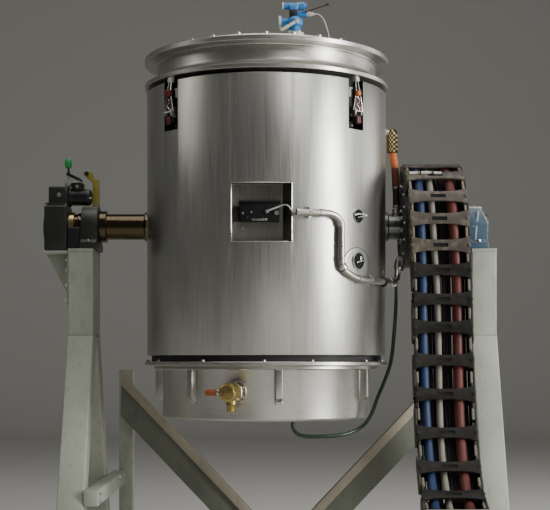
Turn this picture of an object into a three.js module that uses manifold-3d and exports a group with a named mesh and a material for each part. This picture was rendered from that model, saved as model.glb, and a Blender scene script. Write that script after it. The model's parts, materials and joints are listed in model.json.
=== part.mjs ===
// A tilting reactor: an insulated steel vessel hung on two trunnions between grey box pedestals.
// Millimetres, +Z up, front of the vessel towards -Y. X is measured from the vessel's centre line,
// and Y and Z from the trunnion axis.

import * as THREE from 'three';
import { mergeVertices } from 'three/addons/utils/BufferGeometryUtils.js';
import Module from 'manifold-3d';

const wasm = await Module();
wasm.setup();

// Driving dimensions of the whole machine
const AXIS_HEIGHT = 2430;
const FLOOR = -AXIS_HEIGHT;
const SEAT_GAP = 0.3;
const ROUND_SEGMENTS = 40;
const SHAFT_SEGMENTS = 20;
const HOSE_SIDES = 8;

// Vessel
const JACKET_RADIUS = 785;
const CHAMBER_RADIUS = 650;
const JACKET_TOP = 862;
const JACKET_BOTTOM = -850;
const RING_RADIUS = 800;
const COLLAR_RADIUS = 718;
const GASKET_RADIUS = 700;
const CLAMP_RING_BOTTOM = 886;
const CLAMP_RING_TOP = 914;
const RIM_BOTTOM = 1052;
const RIM_TOP = 1086;
const LID_HEAD_RADIUS = 690;
const LID_DOME_RADIUS = 620;
const LID_DOME_HEIGHT = 70;
const LID_PLATE = 30;
const FLOOR_PLATE_RADIUS = 755;
const BOTTOM_RING_TOP = -889;
const BOTTOM_RING_BOTTOM = -913;
const DRUM_RADIUS = 681;
const DRUM_BOTTOM = -1258;
const DRUM_FLANGE_RADIUS = 740;
const DRUM_FLANGE_BOTTOM = -936;

// Brackets round the lower drum
const BRACKET_ANGLES = [6.5, 62, 113, 164, 215.5, 267, 319.8];
const BRACKET_DEPTH = 53;
const BRACKET_WIDTH = 40;
const BRACKET_BOTTOM = -1153;
const BRACKET_CHAMFER = 38;

// Instrument niche in the jacket, and its box
const NICHE_LEFT = -209;
const NICHE_RIGHT = 159;
const NICHE_BOTTOM = -163;
const NICHE_TOP = 193;
const NICHE_BACK = -690;
const NICHE_BACK_RIGHT = 104;

// Toggle clamps in their recesses
const CLAMP_ANGLES = { front_left: -49, front_right: 45.5, rear_right: 131, rear_left: -134.5 };
const RECESS_WIDTH = 140;
const RECESS_BOTTOM = 550;
const RECESS_DEPTH = 80;

// Trunnions and what they carry
const SHAFT_RADIUS = 85;
const BOSS_RADIUS = 98;
const BOSS_END = 796;
const COLLAR_START = 1050;
const COLLAR_END = 1096;
const LEFT_SHAFT_END = 1400;
const RIGHT_SHAFT_END = 1456;
const BEARING_CLEARANCE = 1.5;

// Frame
const FRAME_MID = 105;
const PEDESTAL_HALF_SPAN = 1308;
const PEDESTAL_WIDTH = 164;
const PEDESTAL_HALF_DEPTH = 180;
const PEDESTAL_TOP = -155;
const LEG_TOP = -718;
const LEG_SPLAY = 0.438;
const FOOT_THICKNESS = 30;
const FOOT_LENGTH = 320;
const FOOT_WIDTH = 240;
const POST_OFFSET = 1132;
const POST_WIDTH = 102;
const POST_FRONT = 900;
const POST_DEPTH = 100;
const POST_TOP = -950;
const RAIL_TOP = -1680;
const RAIL_HEIGHT = 100;
const RAIL_WIDTH = 90;
const RAIL_FRONT = -640;
const BRACE_OFFSET = 1162;
const BRACE_TOP = -966;
const BRACE_CUT = 320;
const BRACE_SLOPE = 1.057;
const BRACE_DEPTH = 65;
const BRACE_EDGE_DEPTH = 90;
const BRACE_EDGE_CUT = 90;
const BRACE_FOOT_HALF = 230;

// Bearings
const BEARING_HEAD_RADIUS = 135;
const BEARING_BASE_HALF = 175;
const BEARING_BASE_THICKNESS = 45;
const LEFT_BEARING = [-1211, -1102];
const RIGHT_BEARING = [1318, 1442];

// Energy chain, wound on its drum
const CHAIN_DRUM_RADIUS = 290;
const CHAIN_DRUM_START = 890;
const CHAIN_DRUM_END = 1296;
const CHAIN_LEFT = 920;
const CHAIN_RIGHT = 1304;
const CHAIN_RADIUS = 355;
const CHAIN_HALF_THICKNESS = 55;
const CHAIN_BAND = 28;
const CHAIN_PITCH = 168;
const CHAIN_LEAN = 0.04;
const CHAIN_LEAN_START = -400;
const CHAIN_BAR_LENGTH = 80;
const CHAIN_BAR_THICKNESS = 14;
const CHAIN_END_Y = -1230;
const CHAIN_END_Z = -1800;

// Materials
function finish(color, roughness, metalness) {
  return new THREE.MeshStandardMaterial({ color, roughness, metalness });
}

const brushedSteel = finish(0x9fa19b, 0.35, 0.9);
const palePaint = finish(0xa3a69f, 0.55, 0.1);
const bearingPaint = finish(0x3c4f58, 0.5, 0.3);
const brightSteel = finish(0xb9b7ae, 0.25, 1.0);
const darkRubber = finish(0x17181a, 0.8, 0.0);
const chainPlastic = finish(0x2b2724, 0.6, 0.0);
const blackPaint = finish(0x141518, 0.5, 0.2);
const bluePaint = finish(0x2f7fd0, 0.4, 0.1);
const olivePaint = finish(0x8f8126, 0.5, 0.1);
const brassMetal = finish(0xa98a45, 0.35, 1.0);
const gripRed = finish(0x8e3a22, 0.5, 0.0);
const hoseBlue = finish(0x1e5fae, 0.5, 0.0);
const hoseWhite = finish(0xc9c7bd, 0.5, 0.0);
const hoseRed = finish(0x7c231c, 0.5, 0.0);
const cableGreen = finish(0x26402c, 0.6, 0.0);

// Turns a closed three.js geometry into a solid that can be joined and cut
function solidOf(geometry) {
  const plain = geometry.clone();
  plain.deleteAttribute('normal');
  plain.deleteAttribute('uv');
  const merged = mergeVertices(plain, 0.001);
  const index = merged.index.array;
  const corners = [];
  for (let i = 0; i < index.length; i += 3) {
    const [a, b, c] = [index[i], index[i + 1], index[i + 2]];
    if (a !== b && b !== c && c !== a) corners.push(a, b, c);
  }
  return new wasm.Manifold(new wasm.Mesh({
    numProp: 3,
    vertProperties: new Float32Array(merged.attributes.position.array),
    triVerts: new Uint32Array(corners),
  }));
}

// Turns a joined or cut solid back into a three.js geometry
function geometryOf(solid) {
  const mesh = solid.getMesh();
  const geometry = new THREE.BufferGeometry();
  const corners = new Float32Array(mesh.vertProperties);
  geometry.setAttribute('position', new THREE.BufferAttribute(corners, 3));
  geometry.setIndex(new THREE.BufferAttribute(new Uint32Array(mesh.triVerts), 1));
  geometry.computeVertexNormals();
  return geometry;
}

function join(...geometries) {
  return geometryOf(geometries.map(solidOf).reduce((whole, next) => whole.add(next)));
}

function cut(geometry, ...cutters) {
  return geometryOf(cutters.map(solidOf).reduce((whole, next) => whole.subtract(next), solidOf(geometry)));
}

// The part that two pieces share
function common(first, second) {
  return geometryOf(solidOf(first).intersect(solidOf(second)));
}

// A block between two corners
function block([x0, x1], [y0, y1], [z0, z1]) {
  const geometry = new THREE.BoxGeometry(x1 - x0, y1 - y0, z1 - z0);
  return geometry.translate((x0 + x1) / 2, (y0 + y1) / 2, (z0 + z1) / 2);
}

// A turned piece round the vertical axis, from [radius, height] points that run anticlockwise
function turned(profile, segments = ROUND_SEGMENTS) {
  const points = profile.map(([radius, height]) => new THREE.Vector2(radius, height));
  if (profile[0][0] !== 0) points.push(points[0].clone());
  return new THREE.LatheGeometry(points, segments).rotateX(Math.PI / 2);
}

// The same, round a line along X: side 1 points to +X and side -1 to -X
function turnedSideways(profile, side, segments = SHAFT_SEGMENTS) {
  return turned(profile, segments).rotateY(side * Math.PI / 2);
}

// The same, pointing out of the vessel's front
function turnedForward(profile, segments = SHAFT_SEGMENTS) {
  return turned(profile, segments).rotateX(Math.PI / 2);
}

// A plate whose outline lies in the Y-Z plane, between two X values
const sideView = new THREE.Matrix4().makeBasis(
  new THREE.Vector3(0, 1, 0), new THREE.Vector3(0, 0, 1), new THREE.Vector3(1, 0, 0));

function sidePlate(outline, [x0, x1], curveSegments = 12) {
  const shape = outline instanceof THREE.Shape ? outline : shapeOf(outline);
  const depth = x1 - x0;
  const geometry = new THREE.ExtrudeGeometry(shape, { depth, bevelEnabled: false, curveSegments });
  return geometry.applyMatrix4(sideView).translate(x0, 0, 0);
}

// A plate whose outline lies in the X-Z plane, between two Y values
function frontPlate(outline, [y0, y1]) {
  const geometry = new THREE.ExtrudeGeometry(shapeOf(outline), { depth: y1 - y0, bevelEnabled: false });
  return geometry.rotateX(Math.PI / 2).translate(0, y1, 0);
}

// A plate whose outline lies in the X-Y plane, between two heights
function planPlate(outline, [z0, z1]) {
  const geometry = new THREE.ExtrudeGeometry(shapeOf(outline), { depth: z1 - z0, bevelEnabled: false });
  return geometry.translate(0, 0, z0);
}

function shapeOf(points) {
  return new THREE.Shape(points.map(([u, v]) => new THREE.Vector2(u, v)));
}

// A hose or pipe along a smooth curve through the given points
function hose(points, radius, steps, sides = HOSE_SIDES) {
  const section = new THREE.Shape();
  section.absarc(0, 0, radius, 0, 2 * Math.PI);
  const path = new THREE.CatmullRomCurve3(points.map(([x, y, z]) => new THREE.Vector3(x, y, z)));
  const settings = { steps, extrudePath: path, curveSegments: sides / 2, bevelEnabled: false };
  return new THREE.ExtrudeGeometry(section, settings);
}

// Turns a piece made at the vessel's front to another angle round it, positive towards +X
function around(geometry, degrees) {
  return geometry.rotateZ(THREE.MathUtils.degToRad(degrees));
}

function add(group, name, geometry, material) {
  const mesh = new THREE.Mesh(geometry, material);
  mesh.name = name;
  group.add(mesh);
  return mesh;
}

const machine = new THREE.Group();
const vessel = new THREE.Group();
const frame = new THREE.Group();
machine.add(vessel, frame);

// Jacket with its niche and clamp recesses, open inside for the chamber
function makeJacket() {
  const wall = turned([[CHAMBER_RADIUS, JACKET_BOTTOM], [JACKET_RADIUS, JACKET_BOTTOM],
    [JACKET_RADIUS, JACKET_TOP], [CHAMBER_RADIUS, JACKET_TOP]]);
  const front = -JACKET_RADIUS - 50;
  const mouth = -Math.sqrt(JACKET_RADIUS ** 2 - NICHE_RIGHT ** 2);
  const splay = (NICHE_RIGHT - NICHE_BACK_RIGHT) / (NICHE_BACK - mouth);
  const frontRight = NICHE_BACK_RIGHT + splay * (NICHE_BACK - front);
  const niche = planPlate([[NICHE_LEFT, front], [frontRight, front], [NICHE_BACK_RIGHT, NICHE_BACK],
    [NICHE_LEFT, NICHE_BACK]], [NICHE_BOTTOM, NICHE_TOP]);
  const recesses = Object.values(CLAMP_ANGLES).map((angle) => around(block(
    [-RECESS_WIDTH / 2, RECESS_WIDTH / 2],
    [-JACKET_RADIUS - 50, RECESS_DEPTH - JACKET_RADIUS],
    [RECESS_BOTTOM, JACKET_TOP + 50]), angle));
  return cut(wall, niche, ...recesses);
}

add(vessel, 'jacket', makeJacket(), brushedSteel);

const floorBottom = BOTTOM_RING_TOP + SEAT_GAP;
const floorTop = JACKET_BOTTOM - SEAT_GAP;
add(vessel, 'floor_plate', turned([[0, floorBottom], [FLOOR_PLATE_RADIUS, floorBottom],
  [FLOOR_PLATE_RADIUS, floorTop], [0, floorTop]]), darkRubber);

add(vessel, 'bottom_ring', turned([[0, BOTTOM_RING_BOTTOM], [RING_RADIUS, BOTTOM_RING_BOTTOM],
  [RING_RADIUS, BOTTOM_RING_TOP], [0, BOTTOM_RING_TOP]]), brushedSteel);

const drumTop = BOTTOM_RING_BOTTOM - SEAT_GAP;
add(vessel, 'lower_drum', turned([[0, DRUM_BOTTOM + 20], [DRUM_RADIUS - 60, DRUM_BOTTOM + 20],
  [DRUM_RADIUS - 60, DRUM_BOTTOM], [DRUM_RADIUS - 14, DRUM_BOTTOM], [DRUM_RADIUS, DRUM_BOTTOM + 14],
  [DRUM_RADIUS, DRUM_FLANGE_BOTTOM], [DRUM_FLANGE_RADIUS, DRUM_FLANGE_BOTTOM],
  [DRUM_FLANGE_RADIUS, drumTop], [0, drumTop]]), brushedSteel);

// Brackets welded to the drum, under its top flange
for (const [i, angle] of BRACKET_ANGLES.entries()) {
  const inner = -(DRUM_RADIUS + SEAT_GAP);
  const outer = inner - BRACKET_DEPTH;
  const top = DRUM_FLANGE_BOTTOM - SEAT_GAP;
  const bracket = sidePlate([[inner, top], [outer, top], [outer, BRACKET_BOTTOM + BRACKET_CHAMFER],
    [inner, BRACKET_BOTTOM]].reverse(), [-BRACKET_WIDTH / 2, BRACKET_WIDTH / 2]);
  add(vessel, `drum_bracket_${i + 1}`, around(bracket, angle), brushedSteel);
}

// Gasket, lid collar with its clamp ring and rim, and the domed head
const gasketBottom = JACKET_TOP + SEAT_GAP;
const gasketTop = CLAMP_RING_BOTTOM - SEAT_GAP;
add(vessel, 'lid_gasket', turned([[CHAMBER_RADIUS, gasketBottom], [GASKET_RADIUS, gasketBottom],
  [GASKET_RADIUS, gasketTop], [CHAMBER_RADIUS, gasketTop]]), darkRubber);

add(vessel, 'lid_collar', turned([[CHAMBER_RADIUS, CLAMP_RING_BOTTOM], [RING_RADIUS, CLAMP_RING_BOTTOM],
  [RING_RADIUS, CLAMP_RING_TOP], [COLLAR_RADIUS + 42, CLAMP_RING_TOP],
  [COLLAR_RADIUS + 17, CLAMP_RING_TOP + 12], [COLLAR_RADIUS, CLAMP_RING_TOP + 42],
  [COLLAR_RADIUS, RIM_BOTTOM],
  [RING_RADIUS, RIM_BOTTOM], [RING_RADIUS, RIM_TOP], [CHAMBER_RADIUS, RIM_TOP]]), brushedSteel);

const LID_BASE = RIM_TOP + SEAT_GAP;
const VALVE_X = 188;
const NOZZLE_TOP = 1262;
const AIR_PORT_X = 412;
const AIR_PORT_TOP = 1250;

function makeLidHead() {
  const outside = [];
  const inside = [];
  const arcSteps = 4;
  for (let i = 0; i <= arcSteps; i += 1) {
    const turn = i / arcSteps * Math.PI / 2;
    const height = LID_BASE + LID_DOME_HEIGHT * Math.sin(turn);
    outside.push([LID_DOME_RADIUS * Math.cos(turn), height + LID_PLATE]);
    inside.push([(LID_DOME_RADIUS - 20) * Math.cos(turn), height]);
  }
  outside[arcSteps][0] = 0;
  inside[arcSteps][0] = 0;
  const dome = turned([...inside.reverse(), [LID_HEAD_RADIUS, LID_BASE],
    [LID_HEAD_RADIUS, LID_BASE + LID_PLATE], ...outside]);
  const under = LID_BASE + LID_DOME_HEIGHT + 5;
  const nozzle = turned([[0, under - 15], [52, under - 15], [52, NOZZLE_TOP], [0, NOZZLE_TOP]],
    SHAFT_SEGMENTS).translate(VALVE_X, 0, 0);
  const manway = turned([[0, under], [150, under], [150, under + 55], [0, under + 55]],
    SHAFT_SEGMENTS).translate(-170, 120, 0);
  const airPort = turned([[0, AIR_PORT_TOP - 98], [14, AIR_PORT_TOP - 98], [14, AIR_PORT_TOP],
    [0, AIR_PORT_TOP]], 8).translate(AIR_PORT_X, 0, 0);
  return join(dome, nozzle, manway, airPort);
}

add(vessel, 'lid_head', makeLidHead(), brushedSteel);

// Vent valve with a side branch, and the air actuator on it
const VALVE_BASE = NOZZLE_TOP + SEAT_GAP;
const BRANCH_HEIGHT = 1352;
const ACTUATOR_BASE = 1388;
const HEAD_HEIGHT = 1461;
const AIR_FITTING = { end: 318, height: 1408 };
add(vessel, 'vent_valve', join(
  turned([[0, VALVE_BASE], [60, VALVE_BASE], [60, VALVE_BASE + 20], [40, VALVE_BASE + 26], [40, 1322],
    [52, 1334], [52, 1370], [34, ACTUATOR_BASE - SEAT_GAP], [0, ACTUATOR_BASE - SEAT_GAP]], 16)
    .translate(VALVE_X, 0, 0),
  turnedSideways([[0, 20], [30, 20], [30, 92], [44, 92], [44, 108], [0, 108]], -1, 12)
    .translate(VALVE_X, 0, BRANCH_HEIGHT),
), bluePaint);

add(vessel, 'valve_actuator', join(
  block([150, 206], [-30, 30], [ACTUATOR_BASE, HEAD_HEIGHT]),
  turnedSideways([[0, 103], [22, 103], [22, 209], [27, 213], [27, 250], [18, 266], [0, 268]], 1, 16)
    .translate(0, 0, HEAD_HEIGHT),
  block([200, 270], [-20, 20], [ACTUATOR_BASE + 2, ACTUATOR_BASE + 36]),
  turnedSideways([[0, 264], [16, 264], [16, AIR_FITTING.end], [0, AIR_FITTING.end]], 1, 12)
    .translate(0, 0, AIR_FITTING.height),
), bluePaint);

// Thin air hose from the actuator's fitting to the port on the lid
const AIR_HOSE_RADIUS = 4;
add(vessel, 'air_hose', hose([[AIR_FITTING.end + SEAT_GAP, 0, AIR_FITTING.height],
  [326, 0, AIR_FITTING.height], [340, 0, 1406], [360, 0, 1394], [380, 0, 1366], [395, 0, 1328],
  [406, 0, 1290], [411, 0, 1268], [AIR_PORT_X, 0, 1258],
  [AIR_PORT_X, 0, AIR_PORT_TOP + SEAT_GAP]], AIR_HOSE_RADIUS, 22), hoseWhite);

// Toggle clamps: a back plate, a base with the handle and the wire's bar, a tapered tongue, the head
// that it ends in, and two pull rods from there to the hook under the clamp ring
const CLAMP = { bottom: 575, top: 835, hookTop: CLAMP_RING_BOTTOM - SEAT_GAP };

function makeClamp() {
  const back = RECESS_DEPTH - JACKET_RADIUS - SEAT_GAP;
  const plate = block([-44, 44], [back - 12, back], [CLAMP.bottom, CLAMP.top]);
  const base = block([-24, 24], [-792, back - 10], [600, 674]);
  const handle = block([-24, 24], [-815, -788], [579, 626]);
  const bar = block([-45, 45], [-812, -796], [656, 673]);
  const tongue = frontPlate([[-42, 662], [42, 662], [22, 762], [-22, 762]], [-799, -787]);
  const head = block([-25, 25], [-825, -785], [752, 795]);
  const rod = (side) => hose([[side * 8, -784, 864], [side * 17, -803, 780]], 7, 1, 6);
  const hook = block([-20, 20], [-800, -768], [848, CLAMP.hookTop]);
  return join(plate, base, handle, bar, tongue, head, rod(-1), rod(1), hook);
}

for (const [place, angle] of Object.entries(CLAMP_ANGLES)) {
  add(vessel, `clamp_${place}`, around(makeClamp(), angle), gripRed);
}

// Trunnions, welded to the jacket
const jacketSurface = turned([[0, JACKET_BOTTOM], [JACKET_RADIUS + SEAT_GAP, JACKET_BOTTOM],
  [JACKET_RADIUS + SEAT_GAP, JACKET_TOP], [0, JACKET_TOP]]);

// Pieces welded to the jacket start inside it and are cut at its surface
const WELD_START = 740;

function makeTrunnion(side, middle, end) {
  const profile = [[0, WELD_START], [BOSS_RADIUS, WELD_START], [BOSS_RADIUS, BOSS_END],
    [BOSS_RADIUS - 6, BOSS_END + 6], [SHAFT_RADIUS, BOSS_END + 6], ...middle,
    [SHAFT_RADIUS, end - 6], [SHAFT_RADIUS - 6, end], [0, end]];
  return cut(turnedSideways(profile, side), jacketSurface);
}

const leftCollar = [[SHAFT_RADIUS, COLLAR_START], [SHAFT_RADIUS + 20, COLLAR_START],
  [SHAFT_RADIUS + 20, COLLAR_END], [SHAFT_RADIUS, COLLAR_END]];
add(vessel, 'left_trunnion', makeTrunnion(-1, leftCollar, LEFT_SHAFT_END), brightSteel);
add(vessel, 'right_trunnion', makeTrunnion(1, [], RIGHT_SHAFT_END), brightSteel);

const DRUM_BORE = SHAFT_RADIUS + SEAT_GAP;
add(vessel, 'chain_drum', turnedSideways([[DRUM_BORE, CHAIN_DRUM_START],
  [CHAIN_DRUM_RADIUS, CHAIN_DRUM_START],
  [CHAIN_DRUM_RADIUS, CHAIN_DRUM_START + 16], [CHAIN_DRUM_RADIUS - 20, CHAIN_DRUM_START + 16],
  [CHAIN_DRUM_RADIUS - 20, CHAIN_DRUM_END - 16], [CHAIN_DRUM_RADIUS, CHAIN_DRUM_END - 16],
  [CHAIN_DRUM_RADIUS, CHAIN_DRUM_END], [DRUM_BORE, CHAIN_DRUM_END]], 1), blackPaint);

// Instrument box in the niche
const boxBack = NICHE_BACK - SEAT_GAP;
const BOX_RIGHT = 83;
add(vessel, 'instrument_box', join(
  block([-158, BOX_RIGHT], [boxBack - 58, boxBack], [-38, 78]),
  block([-164, 89], [boxBack - 66, boxBack], [72, 91]),
), blackPaint);

// Ports on the jacket's right, and the drain valve on the drum
function onJacket(geometry, degrees, height) {
  return cut(around(geometry.translate(0, 0, height), degrees), jacketSurface);
}

const UPPER_PORT = { angle: 46.8, height: 15 };
const LOWER_PORT = { angle: 46.5, height: -264, coverHeight: -277, coverRadius: 95, coverStretch: 1.26 };
add(vessel, 'upper_port', onJacket(join(
  turnedForward([[0, WELD_START], [43, WELD_START], [43, 794], [36, 794], [36, 789], [12, 789], [12, 812],
    [0, 812]]),
  block([-28, 28], [-822, -808], [-7, 7]),
), UPPER_PORT.angle, UPPER_PORT.height), brightSteel);

// The lower port's oval cover plate follows the jacket
function makeLowerPort() {
  const oval = turnedForward([[0, WELD_START], [LOWER_PORT.coverRadius, WELD_START],
    [LOWER_PORT.coverRadius, 830], [0, 830]], 32).scale(LOWER_PORT.coverStretch, 1, 1);
  const outside = turned([[0, -500], [JACKET_RADIUS + 6, -500], [JACKET_RADIUS + 6, 0], [0, 0]]);
  const cover = common(onJacket(oval, LOWER_PORT.angle, LOWER_PORT.coverHeight), outside);
  const bezel = onJacket(turnedForward([[0, WELD_START], [58, WELD_START], [58, 801], [50, 801], [50, 796],
    [0, 796]]), LOWER_PORT.angle, LOWER_PORT.height);
  return join(cover, bezel);
}

add(vessel, 'lower_port', makeLowerPort(), brightSteel);

const DRAIN_ANGLE = -15.5;
const DRAIN_HEIGHT = -1075;
const drumSurface = turned([[0, DRUM_BOTTOM], [DRUM_RADIUS + SEAT_GAP, DRUM_BOTTOM],
  [DRUM_RADIUS + SEAT_GAP, drumTop], [0, drumTop]]);

function makeDrainValve() {
  const barrel = turnedForward([[0, 640], [72, 640], [72, 702], [46, 702], [46, 732], [60, 732], [60, 754],
    [46, 754], [46, 800], [58, 806], [58, 850], [40, 868], [0, 868]], 16);
  const outlet = turned([[0, -118], [28, -118], [28, -75], [34, -75], [34, 0], [0, 0]], 12);
  const valve = join(barrel, outlet.translate(0, -778, 0)).translate(0, 0, DRAIN_HEIGHT);
  return cut(around(valve, DRAIN_ANGLE), drumSurface);
}

add(vessel, 'drain_valve', makeDrainValve(), brassMetal);

const leverSeat = 58 + SEAT_GAP;
add(vessel, 'drain_lever', around(join(
  turnedSideways([[0, leverSeat], [16, leverSeat], [16, leverSeat + 22], [0, leverSeat + 22]], -1, 16),
  turnedSideways([[0, leverSeat + 18], [21, leverSeat + 18], [21, leverSeat + 84], [14, leverSeat + 92],
    [0, leverSeat + 92]], -1, 16),
).translate(0, -828, DRAIN_HEIGHT), DRAIN_ANGLE), gripRed);

// Conduit over the jacket, from the niche to the chain drum
const CONDUIT_RADIUS = 21;
const CONDUIT_START = 187;
const conduitCentre = JACKET_RADIUS + CONDUIT_RADIUS + 5;
const onConduitLine = (x, z) => [x, -Math.sqrt(conduitCentre ** 2 - x ** 2), z];
const drumFlank = CHAIN_DRUM_START - SEAT_GAP;
add(vessel, 'conduit', hose([onConduitLine(CONDUIT_START, 14), onConduitLine(240, 14),
  onConduitLine(330, 14), onConduitLine(394, 12), onConduitLine(440, -8), onConduitLine(461, -50),
  onConduitLine(463, -130), onConduitLine(463, -250), onConduitLine(466, -294), onConduitLine(484, -328),
  onConduitLine(520, -354), onConduitLine(562, -373), onConduitLine(604, -381), onConduitLine(660, -382),
  onConduitLine(730, -382), [790, -250, -382], [826, -190, -376], [846, -150, -358], [856, -118, -326],
  [859, -98, -288], [860, -88, -254], [863, -83, -234], [871, -81, -223], [881, -81, -220],
  [drumFlank, -81, -220]],
CONDUIT_RADIUS, 44), brushedSteel);

// Lead from the instrument box's front into the conduit's open end, which it meets in line
const LEAD_RADIUS = 5;
const leadTurn = Math.asin(CONDUIT_START / conduitCentre);
const beforeConduit = (distance) => {
  const [x, y, z] = onConduitLine(CONDUIT_START, 14);
  return [x - distance * Math.cos(leadTurn), y - distance * Math.sin(leadTurn), z];
};
const boxFront = boxBack - 58 - SEAT_GAP;
add(vessel, 'sensor_lead', hose([[8, boxFront, 22], [8, boxFront - 8, 22], [15, -766, 24], [42, -771, 34],
  [81, -771, 48], [104, -775, 56], [126, -787, 56], [142, -796, 44], [153, -798, 28],
  beforeConduit(20), beforeConduit(10), beforeConduit(2 * SEAT_GAP)], LEAD_RADIUS, 30), cableGreen);

// Braided hose from the jacket's right wall down to the trunnion, with a thick braid on its upper part
const STEAM_HOSE_RADIUS = 24;
const BRAID_X = 833;
add(vessel, 'steam_hose', join(
  hose([[JACKET_RADIUS + SEAT_GAP, 0, 622], [793, 0, 622], [808, 0, 620], [824, 0, 606], [831, 0, 576],
    [833, 0, 520], [838, 0, 470], [846, 0, 420], [852, 0, 350], [856, 0, 250], [858, 0, 160],
    [858, 0, 110], [858, 0, SHAFT_RADIUS + SEAT_GAP]], STEAM_HOSE_RADIUS, 22),
  turned([[0, 488], [34, 488], [36, 500], [36, 600], [26, 640], [0, 650]], 12).translate(BRAID_X, 0, 0),
), brassMetal);

// Cable from the gland under the drum up to the chain drum
const DRUM_CABLE_RADIUS = 12;
add(vessel, 'drum_cable', hose([[168, -500, DRUM_BOTTOM - SEAT_GAP], [168, -500, -1275], [170, -500, -1300],
  [195, -500, -1338], [250, -500, -1355], [350, -495, -1356], [450, -470, -1352], [550, -415, -1330],
  [624, -350, -1289],
  [675, -300, -1220], [715, -268, -1120], [762, -255, -1010], [796, -252, -912], [812, -245, -820],
  [822, -225, -730], [834, -180, -630], [844, -125, -540], [852, -70, -450], [856, -34, -370],
  [858, -18, -310], [860, -12, -272], [865, -12, -250], [874, -12, -238], [882, -12, -234],
  [drumFlank, -12, -234]], DRUM_CABLE_RADIUS, 48), cableGreen);

// Pedestals: a head column, and a front and a rear leg on bolted feet
function makeLeg(x0, x1, side) {
  const top = LEG_TOP - SEAT_GAP;
  const shift = LEG_SPLAY * (top - FLOOR - FOOT_THICKNESS / 2);
  const low = FLOOR + FOOT_THICKNESS / 2;
  const outline = [[side * SEAT_GAP / 2, top], [side * PEDESTAL_HALF_DEPTH, top],
    [side * (PEDESTAL_HALF_DEPTH + shift), low], [side * (SEAT_GAP / 2 + shift), low]];
  if (side > 0) outline.reverse();
  const middle = side * (PEDESTAL_HALF_DEPTH / 2 + shift);
  const mid = (x0 + x1) / 2;
  return join(sidePlate(outline, [x0, x1]), block([mid - FOOT_WIDTH / 2, mid + FOOT_WIDTH / 2],
    [middle - FOOT_LENGTH / 2, middle + FOOT_LENGTH / 2], [FLOOR, FLOOR + FOOT_THICKNESS]));
}

// A rear post, with a foot plate that reaches away from the leg beside it
function makePost(middle, side) {
  const across = (near, far) => [middle - side * near, middle - side * far].sort((a, b) => a - b);
  return join(
    block(across(-POST_WIDTH / 2, POST_WIDTH / 2), [POST_FRONT, POST_FRONT + POST_DEPTH],
      [FLOOR + 5, POST_TOP]),
    block(across(-POST_WIDTH / 2, POST_WIDTH / 2 + 60), [POST_FRONT - 20, POST_FRONT + POST_DEPTH + 40],
      [FLOOR, FLOOR + 20]),
  );
}

// A point of the braces' upper edge, by its distance from the frame's middle
const braceEdge = (offset) => BRACE_TOP - (BRACE_OFFSET - offset) * BRACE_SLOPE;

function makeBrace(side) {
  const inner = BRACE_FOOT_HALF + SEAT_GAP;
  const outline = (drop) => {
    const points = [[BRACE_OFFSET, braceEdge(BRACE_OFFSET)], [BRACE_OFFSET, braceEdge(BRACE_OFFSET) - drop],
      [inner, braceEdge(inner) - drop], [inner, braceEdge(inner)]];
    const placed = points.map(([offset, z]) => [FRAME_MID + side * offset, z]);
    return side > 0 ? placed.reverse() : placed;
  };
  const back = POST_FRONT - SEAT_GAP;
  return join(frontPlate(outline(BRACE_CUT), [back - BRACE_DEPTH, back]),
    frontPlate(outline(BRACE_EDGE_CUT), [back - BRACE_EDGE_DEPTH, back]));
}

for (const [name, side] of [['left', -1], ['right', 1]]) {
  const middle = FRAME_MID + side * PEDESTAL_HALF_SPAN;
  const x0 = middle - PEDESTAL_WIDTH / 2;
  const x1 = middle + PEDESTAL_WIDTH / 2;
  const post = FRAME_MID + side * POST_OFFSET;
  const face = middle - side * (PEDESTAL_WIDTH / 2 + SEAT_GAP);
  const rail = [face, face - side * RAIL_WIDTH].sort((a, b) => a - b);
  add(frame, `${name}_pedestal_head`, block([x0, x1], [-PEDESTAL_HALF_DEPTH, PEDESTAL_HALF_DEPTH],
    [LEG_TOP, PEDESTAL_TOP - SEAT_GAP]), palePaint);
  add(frame, `${name}_front_leg`, makeLeg(x0, x1, -1), palePaint);
  add(frame, `${name}_rear_leg`, makeLeg(x0, x1, 1), palePaint);
  add(frame, `${name}_rear_post`, makePost(post, side), palePaint);
  add(frame, `${name}_side_rail`, block(rail, [RAIL_FRONT, POST_FRONT - SEAT_GAP],
    [RAIL_TOP - RAIL_HEIGHT, RAIL_TOP]), palePaint);
  add(frame, `${name}_brace`, makeBrace(side), palePaint);
}

const footTop = braceEdge(BRACE_FOOT_HALF);
add(frame, 'brace_foot', join(
  frontPlate([[-150, FLOOR + 10], [150, FLOOR + 10], [BRACE_FOOT_HALF, footTop - BRACE_CUT],
    [BRACE_FOOT_HALF, footTop], [0, braceEdge(0)], [-BRACE_FOOT_HALF, footTop],
    [-BRACE_FOOT_HALF, footTop - BRACE_CUT]], [POST_FRONT - BRACE_EDGE_DEPTH, POST_FRONT - SEAT_GAP]),
  block([-200, 200], [POST_FRONT - 150, POST_FRONT + 60], [FLOOR, FLOOR + 20]),
).translate(FRAME_MID, 0, 0), palePaint);

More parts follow.
